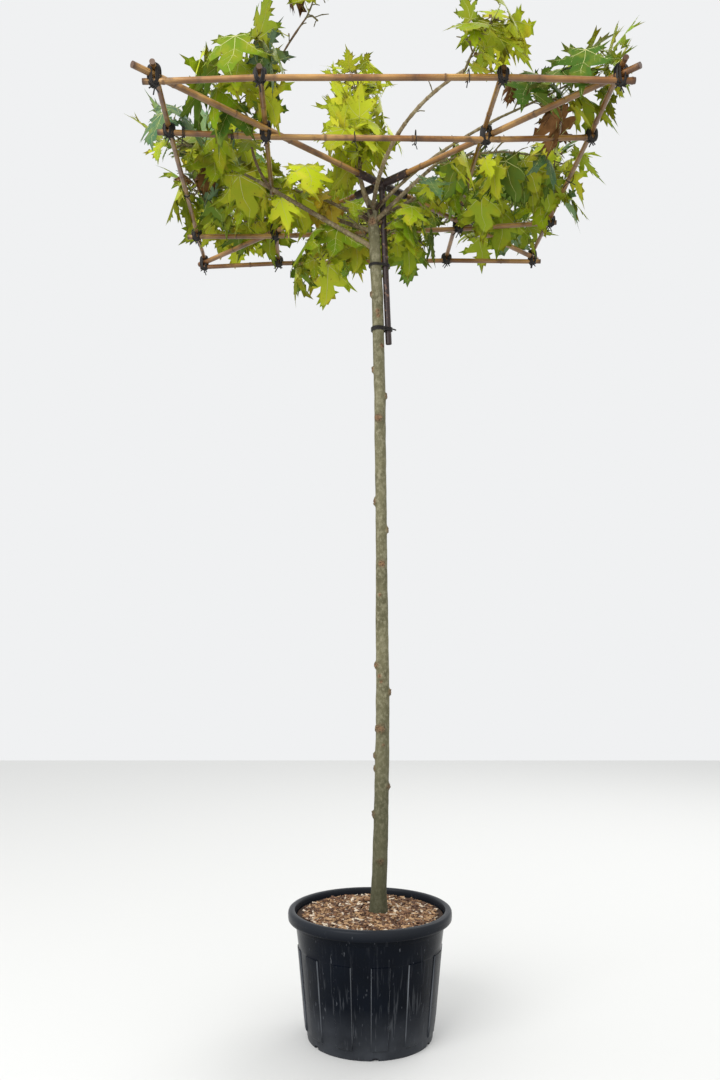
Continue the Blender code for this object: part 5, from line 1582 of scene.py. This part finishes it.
dealt = []
tint_rng = random.Random(77)
for name, root, base, along_leaf, normal, length in leaves:
    weights = TINT_WEIGHTS[name]
    tint = tint_rng.choices(list(weights), list(weights.values()))[0]
    middle = seen_at(base + along_leaf * length * 0.5)
    for placed_tint, x, z, radius in PLACED_TINTS:
        if base.y < PLACED_DEPTH and math.hypot(middle.x - x, middle.y - z) < radius:
            tint = placed_tint
    kind = tint_rng.choice(CRISP_KINDS) if tint == "crisp" else tint_rng.randrange(CRISP_KINDS[0])
    aside = along_leaf.cross(normal)
    facing = Matrix((aside, along_leaf, normal)).transposed().to_euler()
    dealt.append({"base": base, "facing": facing, "length": length, "kind": kind, "tint": tint, "root": root,
                  "tone": tint_rng.uniform(*TONE_SPREAD)})

for tint, (top_colour, under_colour, aged_colour) in TINTS.items():
    chosen = [leaf for leaf in dealt if leaf["tint"] == tint]
    if not chosen:
        continue
    for label, colour, rough in (("tops", top_colour, 0.50), ("undersides", under_colour, 0.75)):
        # A leaf's skin is waxy above and downy beneath. Patches of it yellow first, brown specks and edges
        # follow, and the fine net of its veins shows as a light relief
        skin = new_material(f"{tint} leaf {label}", {"Roughness": rough, "Specular IOR Level": 0.12}, {
            "patch": ("TexNoise", "where", 22.0, 5.0),
            "patch_mask": ("MapRange", "patch", 0.46, 0.68, 0.0, 0.8),
            "aged": ("Mix RGBA", "patch_mask", colour, aged_colour),
            "specks": ("TexNoise", "where", 120.0, 3.0),
            "speck_mask": ("MapRange", "specks", 0.66, 0.72, 0.0, 0.7),
            "edge": ("Attribute edge",),
            "edge_mask": ("MapRange", "edge", 0.80, 1.0, 0.0, 0.55),
            "edge_patch": ("Math MULTIPLY", "edge_mask", "patch_mask"),
            "browned": ("Math MAXIMUM", "speck_mask", "edge_patch"),
            "blade": ("Mix RGBA", "browned", "aged", "#6B4A22"),
            "tone": ("Attribute tone",),
            "Base Color": ("HueSaturation", "blade", "tone"),
            "net": ("TexVoronoi DISTANCE_TO_EDGE", "where", 190.0),
            "Normal": ("Bump", "net", 0.25, 0.0008)})
        mesh = grown(f"leaf_{label}_{tint}", places_object(chosen), set_out, {
            "Kinds": leaf_parts[label], "Finish": skin})
        piece(f"leaf_{label}_{tint}", mesh, skin, "foliage")

green_rib = new_material("leaf rib", {"Base Color": "#C3C57C", "Roughness": 0.5}, {
    "grain": ("TexNoise", "where", 260.0),
    "Normal": ("Bump", "grain", 0.2, 0.0004)})
ribs = grown("leaf_ribs", places_object(dealt), set_out, {"Kinds": leaf_parts["veins"], "Finish": green_rib})
piece("leaf_ribs", ribs, green_rib, "foliage")

# Leaf stalks
# Each leaf hangs on a thin round stalk with a swollen foot that caps the bud, yellow-green and often red
# on its upper side.
STALK_RADII = (0.0017, 0.0011, 0.0010, 0.0012)
# Shares of the stalk's reach that it sags, and that it runs straight into the blade; the share of the blade
# that it runs on under
STALK_SAG = 0.06
STALK_LATE = 0.16
STALK_UNDER = 0.045
stalk_lines = []
for leaf in dealt:
    blade_way = leaf["facing"].to_matrix() @ Vector((0, 1, 0))
    reach = (leaf["base"] - leaf["root"]).length
    bend = leaf["root"].lerp(leaf["base"], 0.5) - UP * reach * STALK_SAG
    late = leaf["base"] - blade_way * reach * STALK_LATE
    inside = leaf["base"] + blade_way * leaf["length"] * STALK_UNDER
    points = [leaf["root"], bend, late.lerp(leaf["root"].lerp(leaf["base"], 1 - STALK_LATE), 0.5), inside]
    stalk_lines.append(list(zip(points, STALK_RADII)))
stalk_skin = new_material("leaf stalk", {"Roughness": 0.45}, {
    "blush": ("TexNoise", "where", 22.0, 3.0),
    "blush_mask": ("MapRange", "blush", 0.45, 0.68),
    "Base Color": ("Mix RGBA", "blush_mask", "#98A04A", "#8A5B3A")})
stalks = bars("leaf_stalks", stalk_lines, stalk_skin, 0.006, 6)
piece("leaf_stalks", stalks, stalk_skin, "foliage")
